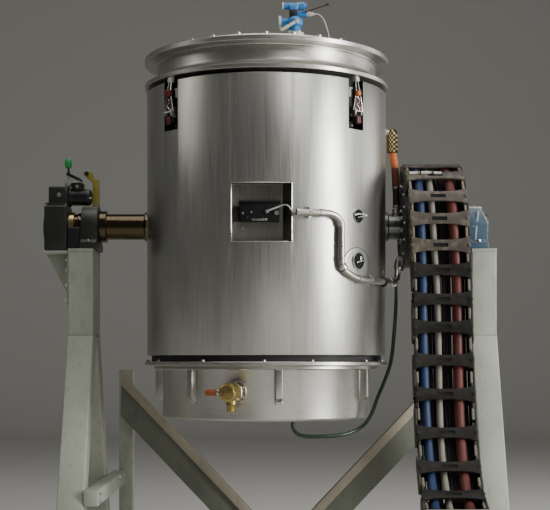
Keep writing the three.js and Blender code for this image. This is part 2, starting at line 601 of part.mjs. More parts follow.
// Pillow bearings with a bore for the trunnion
function makeBearing(width) {
  const shape = new THREE.Shape();
  const base = PEDESTAL_TOP + BEARING_BASE_THICKNESS;
  shape.moveTo(-BEARING_BASE_HALF, PEDESTAL_TOP);
  shape.lineTo(BEARING_BASE_HALF, PEDESTAL_TOP);
  shape.lineTo(BEARING_BASE_HALF, base);
  shape.lineTo(BEARING_HEAD_RADIUS, base + 12);
  shape.absarc(0, 0, BEARING_HEAD_RADIUS, 0, Math.PI);
  shape.lineTo(-BEARING_HEAD_RADIUS, base + 12);
  shape.lineTo(-BEARING_BASE_HALF, base);
  const bore = new THREE.Path();
  bore.absarc(0, 0, SHAFT_RADIUS + BEARING_CLEARANCE, 0, 2 * Math.PI, true);
  shape.holes.push(bore);
  return sidePlate(shape, width, 12);
}

add(frame, 'left_bearing', makeBearing(LEFT_BEARING), bearingPaint);
add(frame, 'right_bearing', makeBearing(RIGHT_BEARING), bearingPaint);

// Tilt drive on the outside of the left pedestal: a shelf with a gusset, the gearbox and the motor
const driveFace = FRAME_MID - PEDESTAL_HALF_SPAN - PEDESTAL_WIDTH / 2 - SEAT_GAP;
const GEARBOX = { outside: -1450, inside: -1300, half: 125, shelf: -165, shoulder: 130, top: 262 };
add(frame, 'drive_bracket', join(
  block([driveFace - 18, driveFace], [-120, 120], [-520, GEARBOX.shelf]),
  block([GEARBOX.outside - 6, driveFace], [-130, 130], [GEARBOX.shelf - 20, GEARBOX.shelf]),
  frontPlate([[driveFace, -470], [driveFace, GEARBOX.shelf - 10],
    [GEARBOX.outside + 10, GEARBOX.shelf - 10]], [-8, 8]),
), palePaint);

const gearboxBlock = join(
  block([GEARBOX.outside, GEARBOX.inside], [-GEARBOX.half, GEARBOX.half],
    [GEARBOX.shelf + SEAT_GAP, GEARBOX.shoulder]),
  block([GEARBOX.outside + 20, GEARBOX.inside], [-70, 70], [GEARBOX.shoulder - 10, GEARBOX.top]),
);
const boreRadius = SHAFT_RADIUS + BEARING_CLEARANCE;
const shaftRoom = turnedSideways([[0, -GEARBOX.inside - 50], [boreRadius, -GEARBOX.inside - 50],
  [boreRadius, LEFT_SHAFT_END + 10], [0, LEFT_SHAFT_END + 10]], -1);
add(frame, 'tilt_gearbox', cut(gearboxBlock, shaftRoom), bearingPaint);

const MOTOR_HEIGHT = 195;
const MOTOR_TIP = 1152;
const motorStart = -GEARBOX.inside - SEAT_GAP;
add(frame, 'tilt_motor', join(
  turnedSideways([[0, MOTOR_TIP], [30, MOTOR_TIP], [48, MOTOR_TIP + 8], [54, MOTOR_TIP + 20],
    [54, motorStart - 14], [60, motorStart - 14], [60, motorStart], [0, motorStart]], -1, 24)
    .translate(0, 0, MOTOR_HEIGHT),
  block([-1285, -1205], [-38, 38], [MOTOR_HEIGHT + 40, MOTOR_HEIGHT + 92]),
), blackPaint);

// Flat bar with a slanted arm on top of the left bearing, for the tilt sensor
const sensorFoot = BEARING_HEAD_RADIUS + SEAT_GAP;
add(frame, 'sensor_bracket', join(
  block([-1149, -1103], [-30, 30], [sensorFoot, sensorFoot + 8]),
  frontPlate([[-1149, sensorFoot], [-1103, sensorFoot], [-1103, 314], [-1132, 314], [-1150, 362],
    [-1208, 362], [-1208, 346], [-1149, 290]], [-6, 6]),
), olivePaint);

// Energy chain: centre line in the Y-Z plane, over the drum and down to its stand
function chainPoints() {
  const points = [];
  for (let angle = -20; angle <= 180; angle += 20) {
    const turn = THREE.MathUtils.degToRad(angle);
    points.push([0, CHAIN_RADIUS * Math.cos(turn), CHAIN_RADIUS * Math.sin(turn)]);
  }
  points.push([0, -364, -250], [0, -396, -584], [0, -470, -980], [0, -592, -1333],
    [0, -760, -1590], [0, -960, -1746], [0, -1090, -1792], [0, -1150, CHAIN_END_Z],
    [0, -1190, CHAIN_END_Z], [0, CHAIN_END_Y, CHAIN_END_Z]);
  return points;
}

const chainPath = new THREE.CatmullRomCurve3(chainPoints().map(([x, y, z]) => new THREE.Vector3(x, y, z)));
chainPath.arcLengthDivisions = 800;
const chainLength = chainPath.getLength();

// Outline of a side band between two places on the centre line, with half the thickness on each side
function bandOutline(from, to, steps) {
  const outer = [];
  const inner = [];
  for (let i = 0; i <= steps; i += 1) {
    const share = Math.min(1, (from + (to - from) * i / steps) / chainLength);
    const at = chainPath.getPointAt(share);
    const along = chainPath.getTangentAt(share);
    outer.push([at.y + along.z * CHAIN_HALF_THICKNESS, at.z - along.y * CHAIN_HALF_THICKNESS]);
    inner.push([at.y - along.z * CHAIN_HALF_THICKNESS, at.z + along.y * CHAIN_HALF_THICKNESS]);
  }
  const outline = [...outer, ...inner.reverse()];
  if (THREE.ShapeUtils.isClockWise(shapeOf(outline).getPoints())) outline.reverse();
  return outline;
}

// Crossbar on one face of the chain, its middle at a place along the centre line
function crossbar(place, face) {
  const at = chainPath.getPointAt(place / chainLength);
  const along = chainPath.getTangentAt(place / chainLength);
  const middle = face * (CHAIN_HALF_THICKNESS - CHAIN_BAR_THICKNESS / 2 - 1);
  const bar = block([CHAIN_LEFT + 6, CHAIN_RIGHT - 6], [-CHAIN_BAR_LENGTH / 2, CHAIN_BAR_LENGTH / 2],
    [middle - CHAIN_BAR_THICKNESS / 2, middle + CHAIN_BAR_THICKNESS / 2]);
  return bar.rotateX(Math.atan2(along.z, along.y)).translate(0, at.y, at.z);
}

// The upper part of the chain leans towards the vessel
const leanAt = (z) => CHAIN_LEAN * Math.max(0, z - CHAIN_LEAN_START);

function leaned(geometry) {
  const corners = geometry.attributes.position;
  for (let i = 0; i < corners.count; i += 1) {
    corners.setX(i, corners.getX(i) - leanAt(corners.getZ(i)));
  }
  geometry.computeVertexNormals();
  return geometry;
}

// A stretch of the chain, with the crossbars of the links from first to last
function makeChain(from, to, steps, first, last) {
  const outline = bandOutline(from, to, steps);
  const pieces = [sidePlate(outline, [CHAIN_LEFT, CHAIN_LEFT + CHAIN_BAND]),
    sidePlate(outline, [CHAIN_RIGHT - CHAIN_BAND, CHAIN_RIGHT])];
  for (let link = first; link <= last; link += 1) {
    const place = CHAIN_BAR_LENGTH / 2 + link * CHAIN_PITCH;
    pieces.push(crossbar(place, -1), crossbar(place, 1));
  }
  return leaned(join(...pieces));
}

// The stretch on the drum, and the run down to the stand, meet between two links
const lastLink = Math.floor((chainLength - CHAIN_BAR_LENGTH) / CHAIN_PITCH);
const wrapLinks = 7;
const wrapEnd = wrapLinks * CHAIN_PITCH - (CHAIN_PITCH - CHAIN_BAR_LENGTH) / 2;
add(frame, 'energy_chain_wrap', makeChain(0, wrapEnd, 20, 0, wrapLinks - 1), chainPlastic);
const runStart = wrapEnd + SEAT_GAP;
add(frame, 'energy_chain_run', makeChain(runStart, chainLength, 24, wrapLinks, lastLink), chainPlastic);

// Hoses inside the chain, which end at the stand's end plate
const CHAIN_HOSES = { blue: [994, 30, hoseBlue], white: [1078, 22, hoseWhite], red: [1206, 34, hoseRed] };
for (const [name, [x, radius, material]] of Object.entries(CHAIN_HOSES)) {
  const points = chainPoints().map(([, y, z]) => [x - leanAt(z), y, z]);
  add(frame, `chain_hose_${name}`, hose(points, radius, 40, 6), material);
}

const TRAY_TOP = CHAIN_END_Z - CHAIN_HALF_THICKNESS - SEAT_GAP;
const STAND = {
  left: CHAIN_LEFT - 8, right: CHAIN_RIGHT + 8, front: CHAIN_END_Y - SEAT_GAP - 12, back: -1130,
};
const standLeg = (x) => block([x, x + 60], [-1215, -1155], [FLOOR + 5, TRAY_TOP - 5]);
add(frame, 'chain_stand', join(
  block([STAND.left, STAND.right], [STAND.front, STAND.back], [TRAY_TOP - 14, TRAY_TOP]),
  block([STAND.left, STAND.right], [STAND.front, STAND.front + 12], [TRAY_TOP - 10, CHAIN_END_Z + 70]),
  standLeg(CHAIN_LEFT + 10),
  standLeg(CHAIN_RIGHT - 70),
  block([CHAIN_LEFT - 20, CHAIN_RIGHT + 20], [-1290, -1080], [FLOOR, FLOOR + 15]),
), palePaint);

// The origin lies on the floor under the middle of the whole machine
machine.updateMatrixWorld(true);
const whole = new THREE.Box3().setFromObject(machine, true);
machine.position.set(-(whole.min.x + whole.max.x) / 2, -(whole.min.y + whole.max.y) / 2, -whole.min.z);

export default machine;
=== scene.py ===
# %% [markdown]
# # A tilting reactor vessel, dressed for the camera
#
# The object is a round process vessel of insulated stainless steel. It hangs on two trunnions between
# grey box pedestals and tilts about them, and an energy chain is wound on a drum on its right trunnion.
# The shapes that carry load are already there as a fixed frame. This lesson puts the finished surfaces
# over them: smooth sheet, turned flanges, bolts, welds, paint and hoses. It works in metres, but sizes
# are given in millimetres from the point where the trunnion axis crosses the vessel's centre line,
# because that is how the machine is measured.

# %% Load the fixed frame
import json
import math

import bpy
from mathutils import Matrix, Vector


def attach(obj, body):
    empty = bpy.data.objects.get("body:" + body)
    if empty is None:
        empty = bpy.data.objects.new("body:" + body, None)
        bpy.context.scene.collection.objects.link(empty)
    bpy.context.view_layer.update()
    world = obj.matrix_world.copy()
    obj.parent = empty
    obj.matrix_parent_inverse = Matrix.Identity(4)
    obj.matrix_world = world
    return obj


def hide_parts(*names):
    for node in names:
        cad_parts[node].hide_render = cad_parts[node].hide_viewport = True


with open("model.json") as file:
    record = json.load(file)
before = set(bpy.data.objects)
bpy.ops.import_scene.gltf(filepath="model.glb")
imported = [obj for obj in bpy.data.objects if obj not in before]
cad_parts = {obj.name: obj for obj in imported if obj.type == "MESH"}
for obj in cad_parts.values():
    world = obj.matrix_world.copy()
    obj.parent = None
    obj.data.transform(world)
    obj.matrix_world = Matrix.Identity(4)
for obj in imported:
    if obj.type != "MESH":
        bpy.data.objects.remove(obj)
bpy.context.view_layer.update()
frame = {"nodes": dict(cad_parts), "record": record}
tilt_axis = Vector(frame["record"]["behaviour"]["joints"][0]["pos_m"])
print("trunnion axis at", [round(v, 4) for v in tilt_axis])

# %% [markdown]
# Helpers turn the machine's measures into the scene's metres in one place, and give a place round the
# vessel by its angle and height, as on a drum.

# %% Directions and points of the machine
CROSSING = (0, 0, 0)
UP, FRONT, LEFT, RIGHT = (0, 0, 1), (0, -1, 0), (-1, 0, 0), (1, 0, 0)


def at(x, y, z):
    """A point given in millimetres from the trunnion axis, in the scene's metres."""
    return tilt_axis + Vector((x, y, z)) / 1000


def spot(radius, degrees, height):
    """A point round the vessel in millimetres: 0 degrees is the front, 90 the right."""
    turn = math.radians(degrees)
    return (radius * math.sin(turn), -radius * math.cos(turn), height)


def outward(degrees):
    """The direction that points away from the vessel at an angle."""
    return spot(1, degrees, 0)


def on_circle(radius, degrees):
    """The two coordinates of a point on a circle round 0, 0."""
    return radius * math.cos(math.radians(degrees)), radius * math.sin(math.radians(degrees))


print("front of the jacket at", [round(v, 3) for v in at(*spot(785, 0, 0))])

# %% [markdown]
# ## Camera, floor and light
#
# The photograph was taken level, from eye height, with a long lens. The horizon lies below the middle
# of the picture, so the camera stays level and its lens is shifted up instead of being tilted, which
# keeps the vessel's sides upright as they are in the photograph.

# %% Camera
EYE = (56.8, -8924, -879)
bpy.ops.object.camera_add(location=at(*EYE), rotation=(math.radians(90), 0, 0))
camera = bpy.context.object
camera.name = "viewpoint"
camera.data.lens = 88.36
camera.data.sensor_width = 36
camera.data.shift_y = 0.191
camera.data.clip_end = 200
bpy.context.scene.camera = camera
print("camera at", [round(v, 3) for v in camera.location])

# %% [markdown]
# A polished cylinder shows what stands round it, so the lights decide how the jacket looks. One tall
# soft panel at the right draws the white column down the front, and a weaker one behind it lights the
# jacket's right shoulder. The left is kept dark but for one panel high up, which lights the rim, and the
# fill hangs too high to be seen in the upright sheet. That contrast gives the vessel its roundness.

# %% Floor and backdrop
FLOOR_SIZE, BACKDROP, SWEEP = 60, 24, 6
bpy.ops.object.select_all(action="DESELECT")
bpy.ops.mesh.primitive_plane_add(size=FLOOR_SIZE, location=(0, -6, 0))
floor = bpy.context.object
floor.name = "studio_floor"
bpy.ops.object.mode_set(mode="EDIT")
bpy.ops.mesh.select_mode(type="EDGE")
bpy.ops.mesh.select_all(action="DESELECT")
bpy.ops.object.mode_set(mode="OBJECT")
for edge in floor.data.edges:
    edge.select = all(floor.data.vertices[i].co.y > FLOOR_SIZE / 2 - 1 for i in edge.vertices)
bpy.ops.object.mode_set(mode="EDIT")
bpy.ops.mesh.extrude_region_move(TRANSFORM_OT_translate={"value": (0, 0, BACKDROP)})
bpy.ops.object.mode_set(mode="OBJECT")
curve_up = floor.modifiers.new("sweep", "BEVEL")
curve_up.width = SWEEP
curve_up.segments = 16
bpy.ops.object.modifier_apply(modifier=curve_up.name)
bpy.ops.object.shade_smooth()
floor_finish = bpy.data.materials.new("pale floor")
floor_finish.use_nodes = True
floor_shader = floor_finish.node_tree.nodes["Principled BSDF"]
floor_shader.inputs["Base Color"].default_value = (0.62, 0.61, 0.58, 1)
floor_shader.inputs["Roughness"].default_value = 0.75
floor.data.materials.append(floor_finish)
print("floor reaches", round(floor.dimensions.y, 1), "m back and", round(floor.dimensions.z, 1), "m up")


# %% Soft panels of light
def soft_panel(name, place, target, size, power, tone):
    """A rectangular studio light that faces a target point."""
    bpy.ops.object.light_add(type="AREA", location=place)
    panel = bpy.context.object
    panel.name = name
    panel.rotation_euler = (Vector(target) - Vector(place)).to_track_quat("-Z", "Y").to_euler()
    panel.data.shape = "RECTANGLE"
    panel.data.size, panel.data.size_y = size
    panel.data.energy = power
    panel.data.color = tone
    return panel


soft_panel("white_column", (8.4, -4.2, 3.7), (0, 0, 2.6), (2.0, 6.6), 980, (1, 0.99, 0.96))
soft_panel("left_top", (-9.3, -1.6, 7.6), (0, 0, 3.0), (2.4, 3.0), 75, (1, 0.97, 0.9))
soft_panel("front_fill", (6.0, -10.5, 11.0), (0, 0, 1.5), (5.0, 4.0), 330, (1, 0.98, 0.95))
soft_panel("ceiling", (0.5, -1.0, 9.5), (0, 0, 2.0), (7.0, 7.0), 330, (1, 0.99, 0.97))
soft_panel("low_front", (1.5, -7.5, 0.35), (0, 0, 1.4), (5.0, 0.5), 22, (1, 0.97, 0.92))
soft_panel("right_shoulder", (8.6, 3.4, 3.2), (0, 0, 2.2), (4.0, 5.5), 190, (1, 0.98, 0.95))
sky = bpy.data.worlds.new("studio")
sky.use_nodes = True
sky.node_tree.nodes["Background"].inputs["Color"].default_value = (0.78, 0.77, 0.74, 1)
sky.node_tree.nodes["Background"].inputs["Strength"].default_value = 0.115
bpy.context.scene.world = sky

# %% [markdown]
# ## Tools for shaping
#
# Every piece starts as a primitive and is then shaped as by hand: points, edges or faces are picked by
# their place, and extruded, moved, spun or bevelled. The few helpers below do the picking, so that each
# later cell reads like the steps at the bench.


# %% Picking pieces, faces and points
def only(*pieces):
    """Selects just these pieces, and makes the first one active."""
    bpy.ops.object.select_all(action="DESELECT")
    for piece in pieces:
        piece.select_set(True)
    bpy.context.view_layer.objects.active = pieces[0]


def pick(piece, kind, wanted):
    """Opens a piece for editing with the points or faces picked whose middle, in mm, is wanted."""
    only(piece)
    bpy.ops.object.mode_set(mode="EDIT")
    bpy.ops.mesh.select_mode(type=kind)
    bpy.ops.mesh.select_all(action="DESELECT")
    bpy.ops.object.mode_set(mode="OBJECT")
    for part in piece.data.vertices if kind == "VERT" else piece.data.polygons:
        middle = part.co if kind == "VERT" else part.center
        part.select = bool(wanted(*((middle - tilt_axis) * 1000)))
    bpy.ops.object.mode_set(mode="EDIT")


def done():
    """Leaves edit mode."""
    bpy.ops.object.mode_set(mode="OBJECT")


def size_of(piece):
    """A piece's size in metres, to the millimetre."""
    return [round(v, 3) for v in piece.dimensions]


def settle(piece):
    """Puts the piece's place, turn and scale into its mesh, so that the piece itself sits at the origin."""
    only(piece)
    bpy.ops.object.transform_apply(location=True, rotation=True, scale=True)
    return piece


def shift(piece, wanted, by):
    """Moves the picked points of a piece by some millimetres."""
    pick(piece, "VERT", wanted)
    bpy.ops.transform.translate(value=Vector(by) / 1000)
    done()
    return piece


def round_edges(piece, width, segments):
    """Bevels a piece's sharp edges to a width in mm."""
    only(piece)
    bevel = piece.modifiers.new("rounding", "BEVEL")
    bevel.width = width / 1000
    bevel.segments = segments
    bevel.limit_method = "ANGLE"
    bevel.angle_limit = math.radians(40)
    bpy.ops.object.modifier_apply(modifier=bevel.name)
    return piece


# %% Blocks, turned pieces and plates
def block(name, low, high, edge=0, segments=2):
    """A block between two corners in mm, with its edges rounded."""
    middle = [(a + b) / 2 for a, b in zip(low, high)]
    size = [(b - a) / 1000 for a, b in zip(low, high)]
    bpy.ops.object.select_all(action="DESELECT")
    bpy.ops.mesh.primitive_cube_add(size=1, location=at(*middle), scale=size)
    piece = settle(bpy.context.object)
    piece.name = name
    return round_edges(piece, edge, segments) if edge else piece


def place(piece, centre, toward):
    """Takes a piece made at the origin along +Z to its place, turned towards a direction."""
    piece.rotation_mode = "QUATERNION"
    piece.rotation_quaternion = Vector(UP).rotation_difference(Vector(toward))
    piece.location = at(*centre)
    return settle(piece)


def turned(name, profile, centre=None, toward=UP, steps=96):
    """A piece spun about its axis from [radius, height] points in mm, as on a lathe."""
    bpy.ops.object.select_all(action="DESELECT")
    bpy.ops.mesh.primitive_plane_add(size=0.01, location=(0, 0, 0))
    piece = bpy.context.object
    piece.name = name
    bpy.ops.object.mode_set(mode="EDIT")
    bpy.ops.mesh.select_mode(type="VERT")
    bpy.ops.mesh.merge(type="CENTER")
    bpy.ops.transform.translate(value=(profile[0][0] / 1000, 0, profile[0][1] / 1000))
    for (r0, z0), (r1, z1) in zip(profile, profile[1:]):
        step = ((r1 - r0) / 1000, 0, (z1 - z0) / 1000)
        bpy.ops.mesh.extrude_region_move(TRANSFORM_OT_translate={"value": step})
    bpy.ops.mesh.select_all(action="SELECT")
    bpy.ops.mesh.spin(steps=steps, angle=2 * math.pi, center=(0, 0, 0), axis=UP)
    bpy.ops.mesh.select_all(action="SELECT")
    bpy.ops.mesh.remove_doubles(threshold=0.00002)
    bpy.ops.mesh.normals_make_consistent(inside=False)
    done()
    return place(piece, centre, toward) if centre is not None else piece


def plate(name, outline, start, depth, along, edge=0, segments=2):
    """A flat plate: an outline in mm, seen from the front (X, Z) or from the side (Y, Z), and its depth."""
    bpy.ops.object.select_all(action="DESELECT")
    bpy.ops.mesh.primitive_circle_add(vertices=len(outline), radius=1, fill_type="NGON", location=(0, 0, 0))
    piece = bpy.context.object
    piece.name = name
    for point, (u, z) in zip(piece.data.vertices, outline):
        point.co = at(u, start, z) if along == "Y" else at(start, u, z)
    bpy.ops.object.mode_set(mode="EDIT")
    bpy.ops.mesh.select_all(action="SELECT")
    step = (0, depth / 1000, 0) if along == "Y" else (depth / 1000, 0, 0)
    bpy.ops.mesh.extrude_region_move(TRANSFORM_OT_translate={"value": step})
    bpy.ops.mesh.select_all(action="SELECT")
    bpy.ops.mesh.normals_make_consistent(inside=False)
    done()
    return round_edges(piece, edge, segments) if edge else piece


# %% Cutting, joining and copying
def cut(piece, *cutters):
    """Cuts the cutters' shapes out of a piece, and removes them."""
    for cutter in cutters:
        only(piece)
        knife = piece.modifiers.new("cut", "BOOLEAN")
        knife.operation = "DIFFERENCE"
        knife.solver = "EXACT"
        knife.object = cutter
        bpy.ops.object.modifier_apply(modifier=knife.name)
        bpy.data.objects.remove(cutter, do_unlink=True)
    return piece


def joined(name, *pieces):
    """Makes one object of several."""
    only(*pieces)
    bpy.ops.object.join()
    pieces[0].name = name
    return pieces[0]


def copy_of(piece, name):
    """A copy of a piece with a mesh of its own."""
    only(piece)
    bpy.ops.object.duplicate(linked=False)
    copy = bpy.context.object
    copy.name = name
    return copy


def swung(piece, degrees):
    """Takes a piece that was made at the vessel's front round it, about its centre line."""
    centre = Matrix.Translation(tilt_axis)
    piece.matrix_world = centre @ Matrix.Rotation(math.radians(degrees), 4, "Z") @ centre.inverted()
    return settle(piece)


def set_out(name, master, places):
    """Copies a piece made at the origin to each (centre, direction), and joins the copies."""
    copies = [place(copy_of(master, name), centre, toward) for centre, toward in places]
    return joined(name, *copies)


def grid_of(name, master, xs, ys, zs, facing):
    """Copies a piece to all the places that these X, Y and Z values give in mm, all turned one way."""
    return set_out(name, master, [((x, y, z), facing) for x in xs for y in ys for z in zs])


def circle_of(name, master, centre, radius, count, facing, start=0):
    """Copies a piece evenly round a circle in mm, all turned along the circle's axis."""
    x, y, z = centre
    places = []
    for i in range(count):
        turn = start + i * 2 * math.pi / count
        one, two = radius * math.cos(turn), radius * math.sin(turn)
        if facing[0]:
            places.append(((x, y + one, z + two), facing))
        else:
            places.append(((x + one, y, z + two) if facing[1] else (x + one, y + two, z), facing))
    return set_out(name, master, places)


# %% [markdown]
# Hoses, pipes and welds follow a smooth line through a few points. The line is a spline of the kind
# that passes through every point it is given, so a route that was measured at some places is met
# exactly there. A round section is swept along it and the result is made a mesh.


# %% Smooth lines, tubes and weld beads
KNOT_STEPS = 24


def smooth_line(points, count):
    """Points in mm, evenly spread along a smooth curve that passes through the given points."""
    knots = [Vector(point) for point in points]
    knots = [2 * knots[0] - knots[1]] + knots + [2 * knots[-1] - knots[-2]]
    dense = []
    for i in range(1, len(knots) - 2):
        p0, p1, p2, p3 = knots[i - 1:i + 3]
        t1 = math.sqrt(max((p1 - p0).length, 1e-4))
        t2 = t1 + math.sqrt(max((p2 - p1).length, 1e-4))
        t3 = t2 + math.sqrt(max((p3 - p2).length, 1e-4))
        for step in range(KNOT_STEPS):
            t = t1 + (t2 - t1) * step / KNOT_STEPS
            a1 = p0 * ((t1 - t) / t1) + p1 * (t / t1)
            a2 = p1 * ((t2 - t) / (t2 - t1)) + p2 * ((t - t1) / (t2 - t1))
            a3 = p2 * ((t3 - t) / (t3 - t2)) + p3 * ((t - t2) / (t3 - t2))
            b1 = a1 * ((t2 - t) / t2) + a2 * (t / t2)
            b2 = a2 * ((t3 - t) / (t3 - t1)) + a3 * ((t - t1) / (t3 - t1))
            dense.append(b1 * ((t2 - t) / (t2 - t1)) + b2 * ((t - t1) / (t2 - t1)))
    dense.append(knots[-2])
    lengths = [0]
    for one, two in zip(dense, dense[1:]):
        lengths.append(lengths[-1] + (two - one).length)
    line = []
    place_now = 0
    for i in range(count + 1):
        wanted = lengths[-1] * i / count
        while place_now < len(dense) - 2 and lengths[place_now + 1] < wanted:
            place_now += 1
        span = max(lengths[place_now + 1] - lengths[place_now], 1e-6)
        share = min(1, (wanted - lengths[place_now]) / span)
        line.append(dense[place_now].lerp(dense[place_now + 1], share))
    return line


def length_of(line):
    """The length of a line of points in mm."""
    return sum((two - one).length for one, two in zip(line, line[1:]))


def tube(name, line, radius, sides, closed=False):
    """A round tube along points in mm, with closed ends unless it is a loop."""
    path = bpy.data.curves.new(name, "CURVE")
    path.dimensions = "3D"
    path.bevel_depth = radius / 1000
    path.bevel_resolution = sides
    path.use_fill_caps = not closed
    strand = path.splines.new("POLY")
    strand.points.add(len(line) - 1)
    for point, where in zip(strand.points, line):
        point.co = (*at(*where), 1)
    strand.use_cyclic_u = closed
    piece = bpy.data.objects.new(name, path)
    bpy.context.collection.objects.link(piece)
    only(piece)
    bpy.ops.object.convert(target="MESH")
    return bpy.context.object


def weld_bead(name, line, radius, closed=True):
    """A weld bead with the small ripples of its passes, along points in mm."""
    piece = tube(name, line, radius, 2, closed)
    for i, point in enumerate(piece.data.vertices):
        point.co += point.normal * 0.0006 * math.sin(i * 1.7)
    return piece


print("a smooth line through three points is",
    round(length_of(smooth_line([(0, 0, 0), (50, 20, 0), (100, 0, 0)], 20)), 1), "mm long")

# %% [markdown]
# ## Finishes
#
# Each finish is a small graph on the Principled shader. Object coordinates are in metres, so a scale of
# 400 means a grain of about 2.5 mm. Stretching the pattern along one axis turns noise into brush marks.
# Three things make metal look real here: a fine grain, slow patches where the sheet is cleaner or more
# handled, and a very slight waviness that bends the reflections.


# %% Parts of a finish
def new_finish(name, tone, roughness, metallic=0.0):
    """A new material, with its graph and its shader."""
    material = bpy.data.materials.new(name)
    material.use_nodes = True
    shader = material.node_tree.nodes["Principled BSDF"]
    shader.inputs["Base Color"].default_value = (*tone, 1)
    shader.inputs["Roughness"].default_value = roughness
    shader.inputs["Metallic"].default_value = metallic
    return material, material.node_tree, shader


def feed(graph, socket, value):
    """Links a socket to another node's output, or sets its value."""
    if hasattr(value, "is_linked"):
        graph.links.new(value, socket)
    else:
        socket.default_value = (*value, 1) if socket.type == "RGBA" else value


def node(graph, kind, **inputs):
    """Adds a node and feeds its inputs: From_Min stands for the input named From Min."""
    one = graph.nodes.new("ShaderNode" + kind)
    for name, value in inputs.items():
        feed(graph, one.inputs[name.replace("_", " ")], value)
    return one


def noise(graph, scale, stretch=(1, 1, 1), detail=4):
    """Cloudy noise in Object coordinates, stretched into grain if asked."""
    coordinates = node(graph, "TexCoord").outputs["Object"]
    mapping = node(graph, "Mapping", Vector=coordinates, Scale=stretch)
    return node(graph, "TexNoise", Vector=mapping.outputs["Vector"], Scale=scale,
        Detail=detail).outputs["Fac"]


def spread(graph, value, low, high, to_low, to_high):
    """Stretches a range of a value to a new range, and holds it at the ends."""
    span = node(graph, "MapRange", Value=value, From_Min=low, From_Max=high, To_Min=to_low, To_Max=to_high)
    return span.outputs["Result"]


def tinted(graph, value, dark, light, low, high):
    """Turns a value into a colour between two tones."""
    ramp = node(graph, "ValToRGB", Fac=value)
    for stop, position, tone in zip(ramp.color_ramp.elements, (low, high), (dark, light)):
        stop.position = position
        stop.color = (*tone, 1)
    return ramp.outputs["Color"]


def mixed(graph, share, first, second, kind="MIX"):
    """Mixes two colours by a share."""
    mixer = node(graph, "Mix")
    mixer.data_type = "RGBA"
    mixer.blend_type = kind
    for value, socket in ((share, 0), (first, 6), (second, 7)):
        feed(graph, mixer.inputs[socket], value)
    return mixer.outputs[2]


def summed(graph, one, two, kind="ADD"):
    """Adds or multiplies two values."""
    total = node(graph, "Math")
    total.operation = kind
    feed(graph, total.inputs[0], one)
    feed(graph, total.inputs[1], two)
    return total.outputs[0]


def raised(graph, shader, value, depth, strength, under=None):
    """Raises the surface by a value: depth is in mm."""
    bump = node(graph, "Bump", Height=value, Distance=depth / 1000, Strength=strength)
    if under:
        feed(graph, bump.inputs["Normal"], under)
    feed(graph, shader.inputs["Normal"], bump.outputs["Normal"])
    return bump.outputs["Normal"]


# %% Steels and brass
def brushed_steel(name, dark, light, stretch, grain, roughness, waviness=0.0, stain=None):
    """Bare steel with a grain along one axis, soft patches and, on sheet, a slight waviness."""
    material, graph, shader = new_finish(name, light, roughness[0], 1.0)
    streaks = noise(graph, grain, stretch, 5)
    patches = noise(graph, 2.6, (1, 1, 0.55))
    colour = tinted(graph, streaks, dark, light, 0.3, 0.7)
    soft = tinted(graph, patches, (0.84, 0.84, 0.83), (1, 1, 1), 0.32, 0.62)
    colour = mixed(graph, 1.0, colour, soft, "MULTIPLY")
    if stain:
        marks = noise(graph, 9, (1, 1, 0.16), 6)
        colour = mixed(graph, spread(graph, marks, 0.58, 0.74, 0, 0.36), colour, stain)
    graph.links.new(colour, shader.inputs["Base Color"])
    grain_gloss = spread(graph, streaks, 0.25, 0.75, *roughness)
    patch_gloss = spread(graph, patches, 0.35, 0.7, 0.07, 0.0)
    graph.links.new(summed(graph, grain_gloss, patch_gloss), shader.inputs["Roughness"])
    lean = None
    if waviness:
        lean = raised(graph, shader, noise(graph, 1.9, (1, 1, 0.35), 1), waviness, 1.0)
    raised(graph, shader, streaks, 0.05, 0.35, lean)
    return material


METALS = {
    "cladding": ("brushed jacket sheet", (0.47, 0.47, 0.44), (0.60, 0.60, 0.57), (1, 1, 0.012), 260,
        (0.26, 0.36), 3.0, (0.33, 0.31, 0.27)),
    "niche": ("niche sheet", (0.42, 0.41, 0.37), (0.58, 0.57, 0.52), (1, 1, 0.03), 240, (0.3, 0.44), 1.0),
    "niche_back": ("shaded niche back", (0.22, 0.215, 0.19), (0.36, 0.35, 0.31), (1, 1, 0.03), 240,
        (0.3, 0.44), 1.0),
    "niche_shade": ("dark niche wall", (0.08, 0.085, 0.07), (0.14, 0.145, 0.12), (1, 1, 0.1), 160,
        (0.4, 0.55)),
    # A near-black sheet: painted shade for recesses, hollows and the dark plates set in them.
    "recess": ("dark recess sheet", (0.045, 0.042, 0.04), (0.09, 0.085, 0.08), (1, 1, 0.1), 120,
        (0.4, 0.6)),
    "flange": ("flange steel", (0.46, 0.45, 0.42), (0.66, 0.65, 0.61), (0.25, 0.25, 6), 60, (0.24, 0.4), 0.0,
        (0.36, 0.34, 0.29)),
    "drum": ("lower drum sheet", (0.44, 0.44, 0.41), (0.60, 0.60, 0.56), (0.2, 0.2, 8), 70, (0.24, 0.38), 1.6,
             (0.30, 0.28, 0.24)),
    # The two shaft steels are darkened: a painted reflection of a dark room round the shafts.
    "turned": ("turned steel", (0.085, 0.064, 0.038), (0.125, 0.098, 0.062), (9, 0.15, 0.15), 45,
        (0.08, 0.13)),
    "dark_reflection_steel": ("dark turned steel", (0.13, 0.13, 0.125), (0.20, 0.20, 0.19), (9, 0.15, 0.15), 45,
        (0.16, 0.26)),
    "gold": ("gold plated ring", (0.42, 0.33, 0.16), (0.62, 0.50, 0.27), (9, 0.3, 0.3), 60, (0.14, 0.24)),
    "bright": ("bright steel", (0.55, 0.55, 0.53), (0.74, 0.73, 0.70), (1, 1, 1), 90, (0.14, 0.26)),
    "bolt": ("zinc plated steel", (0.45, 0.45, 0.43), (0.68, 0.67, 0.63), (1, 1, 1), 160, (0.22, 0.42)),
    "brass": ("dull brass", (0.36, 0.27, 0.09), (0.62, 0.49, 0.20), (1, 1, 1), 90, (0.22, 0.4)),
}
finish = {name: brushed_steel(*values) for name, values in METALS.items()}
print("metals:", sorted(finish))

